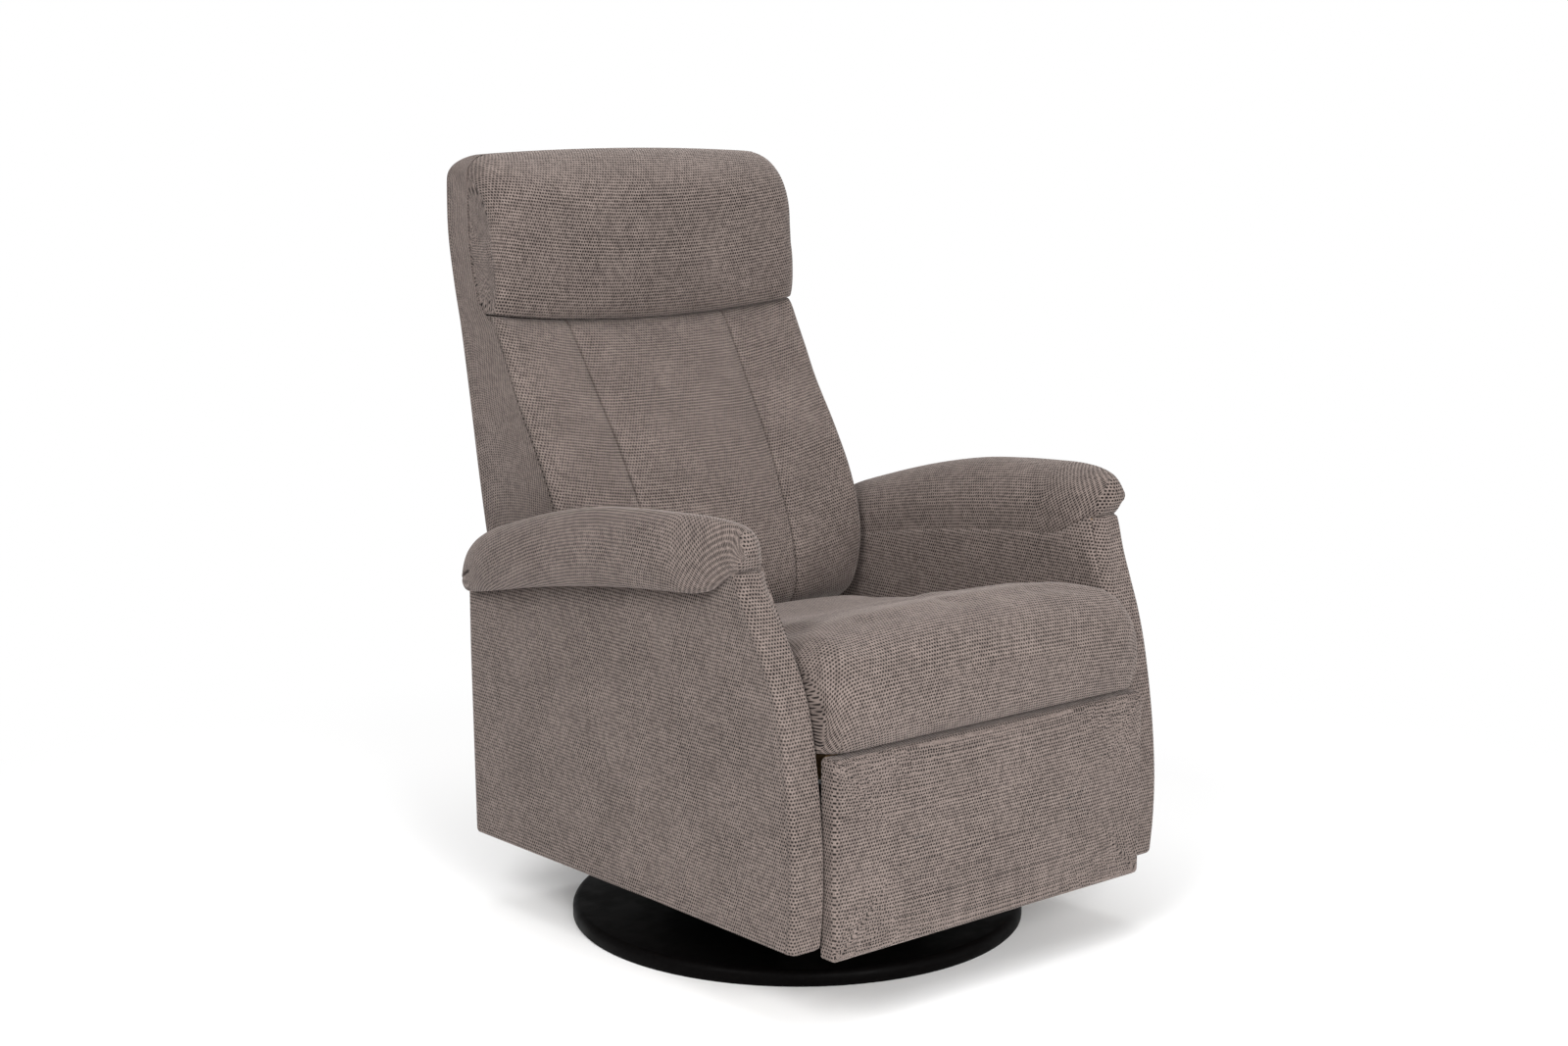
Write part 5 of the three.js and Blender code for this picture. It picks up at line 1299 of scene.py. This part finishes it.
    def rear_cover(self) -> bpy.types.Object:
        """Builds the rear cover with its side panels."""
        size = self.sizes
        top = size.top_z - 0.0006
        heights = [size.bottom_z + step for step in (0, 0.001, 0.003, 0.007)]
        heights += spread(size.bottom_z + 0.015, top - 0.085, 70)
        heights += [top - 0.085 * (1 - share) ** 1.8 for share in spread(0, 1, 26)[1:]]
        rings = [self.shell_slice(z) for z in heights]
        item = Skin("back_rear_cover", rings, cap_uv=lambda point: (point.x, point.y)).build()
        return subdivided(item)

    def build(self) -> None:
        """Builds the body cushion, the headrest and the rear cover."""
        size = self.sizes
        stations = self.stations()
        middle = len(stations) // 2
        body = Skin("back_cushion_cover", [self.body_ring(x, draw) for x, draw in stations], middle).build()

        def hold(point: Vector) -> float:
            """Returns how firmly the back's cover is held at a point."""
            share = (point.z - size.cushion_bottom_z) / (size.neck_z - size.cushion_bottom_z)
            seam = size.seam_low_x + (size.seam_top_x - size.seam_low_x) * share
            if abs(abs(point.x) - seam) < 0.003 or abs(point.x) > size.half_width - 0.018:
                return 1.0
            near_neck = point.z > self.neck(point.x) - 0.006
            return 1.0 if near_neck or point.y > self.split_y(point.z) - 0.02 else 0.0
        Filling(pressure=2.5, cap=0.006).swell(body, hold)
        subdivided(body)
        dressed(body, "back", ["back_cushion"], self.fabric)
        at_seam = size.seam_share * size.half_width
        seams = [[(x, y - 0.0003, z) for x, y, z in self.body_ring(place, 0.0)[3:61]]
                 for place in (-at_seam, at_seam)]
        self.stitches.lay("back_panel_stitches", "back", seams)
        head = Skin("headrest_cover", [self.head_ring(x, draw) for x, draw in stations], middle).build()
        subdivided(head)
        dressed(head, "back", ["headrest_cushion"], self.fabric)
        dressed(self.rear_cover(), "back", ["back_shell"], self.fabric)


class RearSkirt:
    """Cloth-covered panel that closes the rear between the arms.

    Args:
        fabric: Cover cloth.
    """

    NODE = "rear_skirt"
    EDGE = 0.005

    def __init__(self, fabric: bpy.types.Material) -> None:
        self.fabric = fabric

    def build(self) -> None:
        """Builds the panel over its CAD node, with rounded edges and a slightly filled face."""
        low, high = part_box(self.NODE)
        middle_x, middle_z = (low[0] + high[0]) / 2, (low[2] + high[2]) / 2
        half_x, half_z = (high[0] - low[0]) / 2, (high[2] - low[2]) / 2
        across = [*[-1 + step for step in (0, .004, .01, .018)], *spread(-0.96, 0.96, 30),
                  *[1 - step for step in (.018, .01, .004, 0)]]
        up = [*[-1 + step for step in (0, .016, .04, .075)], *spread(-0.88, 0.88, 12),
              *[1 - step for step in (.075, .04, .016, 0)]]
        points, coords = [], []
        for share_z in up:
            for share_x in across:
                x, z = middle_x + share_x * half_x, middle_z + share_z * half_z
                draw = max(inset_of(half_x * (1 - abs(share_x)), self.EDGE),
                           inset_of(half_z * (1 - abs(share_z)), self.EDGE))
                puff = 0.003 * (1 - share_x ** 4) * (1 - share_z ** 4)
                points.append((x, high[1] - draw + puff, z))
                coords.append((x, z))
        item = padded_sheet("rear_skirt_panel", points, coords, len(up), True, high[1] - low[1] - self.EDGE)
        dressed(item, "chassis", [self.NODE], self.fabric)


class Footrest:
    """Padded footrest panel that wraps its board.

    Args:
        sizes: Sizes of the cover.
        fabric: Cover cloth.
    """

    def __init__(self, sizes: FootrestSizes, fabric: bpy.types.Material) -> None:
        self.sizes = sizes
        self.fabric = fabric

    def outline(self, inset: float, corner: float = 0.006) -> list[Flat]:
        """Returns the panel's outline across X and Z, drawn in by an inset."""
        size = self.sizes
        half_x = size.half_width - inset
        half_z = (size.top_z - size.bottom_z) / 2 - inset
        middle = (size.top_z + size.bottom_z) / 2
        radius = max(0.002, corner - inset * 0.3)

        def corner_at(side_x: float, side_z: float, degrees: float) -> Flat:
            """Returns the point on a corner's arc at an angle."""
            angle = math.radians(degrees)
            return (side_x * (half_x - radius) + radius * math.cos(angle),
                    middle + side_z * (half_z - radius) + radius * math.sin(angle))
        points = []
        centres = ((1, -1, -90), (1, 1, 0), (-1, 1, 90), (-1, -1, 180))
        for index, (sx, sz, start) in enumerate(centres):
            points += [corner_at(sx, sz, start + angle) for angle in spread(0, 90, 6)]
            next_x, next_z, _ = centres[(index + 1) % 4]
            begin, end = points[-1], corner_at(next_x, next_z, start + 90)
            count = 26 if index % 2 else 14
            points += [(begin[0] + (end[0] - begin[0]) * t, begin[1] + (end[1] - begin[1]) * t)
                       for t in spread(0, 1, count)[1:-1]]
        return points

    def build(self) -> None:
        """Builds the panel."""
        size = self.sizes
        depth = size.rear_y - size.front_y
        stations = [(0.0, 0.0), (depth * 0.2, 0.0), (depth * 0.4, 0.0), (depth * 0.55, 0.0)]
        stations += [(depth - size.edge * (1 - math.sin(a)) - size.crown, size.edge * (1 - math.cos(a)))
                     for a in spread(0, math.pi / 2, 8)]
        stations += [(depth - size.crown, size.edge + step)
                     for step in (0.006, 0.016, 0.03, 0.05, 0.075, 0.10, 0.118)]
        middle_z = (size.top_z + size.bottom_z) / 2
        half_z = (size.top_z - size.bottom_z) / 2
        rings = []
        for reach, inset in stations:
            ring = []
            for x, z in self.outline(inset):
                share_x, share_z = x / size.half_width, (z - middle_z) / half_z
                crown = (1 - abs(share_x) ** 4) * (1 - abs(share_z) ** 4) * size.crown
                ring.append((x, size.rear_y - reach - (crown if inset > 0.0005 else 0.0), z))
            rings.append(ring)
        item = Skin("footrest_cover", rings).build()

        def flat(face: bpy.types.MeshPolygon) -> Callable[[Vector], Flat]:
            """Maps the side faces along them, and the rest across the panel."""
            if abs(face.normal.x) > 0.75:
                return lambda point: (point.y, point.z)
            lean = abs(face.normal.z)
            return lambda point: (point.x, point.z - point.y * lean)
        remapped(item, flat)
        subdivided(item)
        dressed(item, "footrest", ["footrest_pad"], self.fabric)


class Frame:
    """Finishes of the CAD nodes that stay as they are."""

    GROUPS = {
        "plywood": ("arm_board", "seat_side_rail", "seat_front_rail", "seat_rear_rail", "back_stile",
                    "back_bottom_rail", "back_top_rail", "footrest_board"),
        "black": ("swivel_lower_plate", "turntable_plate", "glide_tower", "carriage", "mechanism",
                  "recline_bracket", "footrest_front_crank", "footrest_rear_crank", "footrest_bracket"),
        "zinc": ("swivel_bearing", "swing_link", "seat_track", "footrest_lift", "footrest_guide",
                 "footrest_torque"),
        "spring": ("seat_spring",),
    }

    def __init__(self, finishes: dict[str, bpy.types.Material]) -> None:
        self.finishes = finishes

    def build(self) -> None:
        """Assigns a finish to each shown CAD node."""
        for name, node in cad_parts.items():
            for group, starts in self.GROUPS.items():
                if name.startswith(starts):
                    node.data.materials.clear()
                    node.data.materials.append(self.finishes[group])


class Studio:
    """White studio: camera at the photograph's angle, soft light and a white floor."""

    AZIMUTH = math.radians(-40.2)
    ELEVATION = math.radians(9.75)
    DISTANCE = 3.3408
    TARGET_SIDE = -0.01891
    TARGET_HEIGHT = 0.55987
    LENS = 54.857

    def camera(self) -> None:
        """Places the camera."""
        right = Vector((math.cos(self.AZIMUTH), math.sin(self.AZIMUTH), 0))
        back = Vector((math.sin(self.AZIMUTH) * math.cos(self.ELEVATION),
                       -math.cos(self.AZIMUTH) * math.cos(self.ELEVATION), math.sin(self.ELEVATION)))
        target = right * self.TARGET_SIDE + Vector((0, 0, self.TARGET_HEIGHT))
        data = bpy.data.cameras.new("camera")
        data.lens = self.LENS
        data.sensor_width = 36.0
        camera = bpy.data.objects.new("camera", data)
        camera.location = target + back * self.DISTANCE
        camera.rotation_euler = back.to_track_quat("Z", "Y").to_euler()
        bpy.context.scene.collection.objects.link(camera)
        bpy.context.scene.camera = camera

    def lamp(self, name: str, place: Point, target: Point, size: float, power: float) -> None:
        """Adds one soft lamp that looks at a target."""
        data = bpy.data.lights.new(name, "AREA")
        data.shape = "DISK"
        data.size = size
        data.energy = power
        lamp = bpy.data.objects.new(name, data)
        lamp.location = place
        lamp.rotation_euler = (Vector(place) - Vector(target)).to_track_quat("Z", "Y").to_euler()
        bpy.context.scene.collection.objects.link(lamp)

    def surroundings(self) -> None:
        """Adds the even white light around the object."""
        world = bpy.data.worlds.new("studio")
        bpy.context.scene.world = world
        world.use_nodes = True
        tree = world.node_tree
        tree.nodes.clear()
        rays = tree.nodes.new("ShaderNodeLightPath")
        seen = tree.nodes.new("ShaderNodeBackground")
        seen.inputs[0].default_value = (1, 1, 1, 1)
        around = tree.nodes.new("ShaderNodeBackground")
        around.inputs[0].default_value = (1, 1, 1, 1)
        around.inputs[1].default_value = 0.50
        mixer = tree.nodes.new("ShaderNodeMixShader")
        out = tree.nodes.new("ShaderNodeOutputWorld")
        tree.links.new(rays.outputs["Is Camera Ray"], mixer.inputs[0])
        tree.links.new(around.outputs[0], mixer.inputs[1])
        tree.links.new(seen.outputs[0], mixer.inputs[2])
        tree.links.new(mixer.outputs[0], out.inputs[0])

    def floor(self) -> None:
        """Adds the white floor."""
        half = 12.0
        points = [(-half, -half, 0), (half, -half, 0), (half, half, 0), (-half, half, 0)]
        item = mesh_object("floor", points, [(0, 1, 2, 3)], [[(0, 0), (1, 0), (1, 1), (0, 1)]])
        nodes = Nodes("white_floor")
        place = nodes.add("ShaderNodeTexCoord").outputs["Object"]
        reach = nodes.add("ShaderNodeVectorMath", operation="LENGTH", in_0=place).outputs["Value"]
        far = nodes.ramp(reach, 0.7, 1.6, 0.0, 1.0)
        item.data.materials.append(nodes.finish(Base_Color=nodes.mix(far, (0.98, 0.98, 0.98, 1), (0, 0, 0, 1)),
                                                Roughness=1.0, Specular_IOR_Level=0.0,
                                                Emission_Color=(1, 1, 1, 1), Emission_Strength=far))

    def build(self) -> None:
        """Builds the whole studio."""
        self.camera()
        self.surroundings()
        self.lamp("key", (-1.0, -3.7, 1.5), (0, 0, 0.3), 2.2, 146)
        self.lamp("left", (-3.2, -1.1, 2.9), (0, 0, 0.5), 2.2, 94)
        self.lamp("right", (3.2, -2.2, 2.0), (0, 0, 0.5), 2.2, 5)
        self.lamp("top", (0.0, 0.2, 3.8), (0, 0, 0.4), 3.0, 54)
        self.floor()
        bpy.context.scene.view_settings.view_transform = "Standard"


def main() -> None:
    """Builds the recliner's looks in order."""
    logging.basicConfig(level=logging.INFO)
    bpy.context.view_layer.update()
    fabric = WovenFabric().build()
    Studio().build()
    LOG.info("studio ready")
    Frame({
        "plywood": Plywood().build(),
        "black": Metal("black_powder_coat", "1c1d1f", 0.0, 0.48, 420.0, 0.0002).build(),
        "zinc": Metal("zinc_plated_steel", "a9adb0", 1.0, 0.38, 60.0, 0.0001).build(),
        "spring": Metal("oiled_spring_wire", "4c4e51", 1.0, 0.42, 200.0, 0.0001).build(),
    }).build()
    Base(BaseSizes(), LacqueredWood().build()).build()
    stitches = Stitches(SewingThread().build())
    Arms(ArmSizes(), fabric, stitches).build()
    RearSkirt(fabric).build()
    LOG.info("arms ready")
    Seat(SeatSizes(), fabric).build()
    Back(BackSizes(), fabric, stitches).build()
    Footrest(FootrestSizes(), fabric).build()
    LOG.info("soft goods ready")


if __name__ == "__main__":
    main()
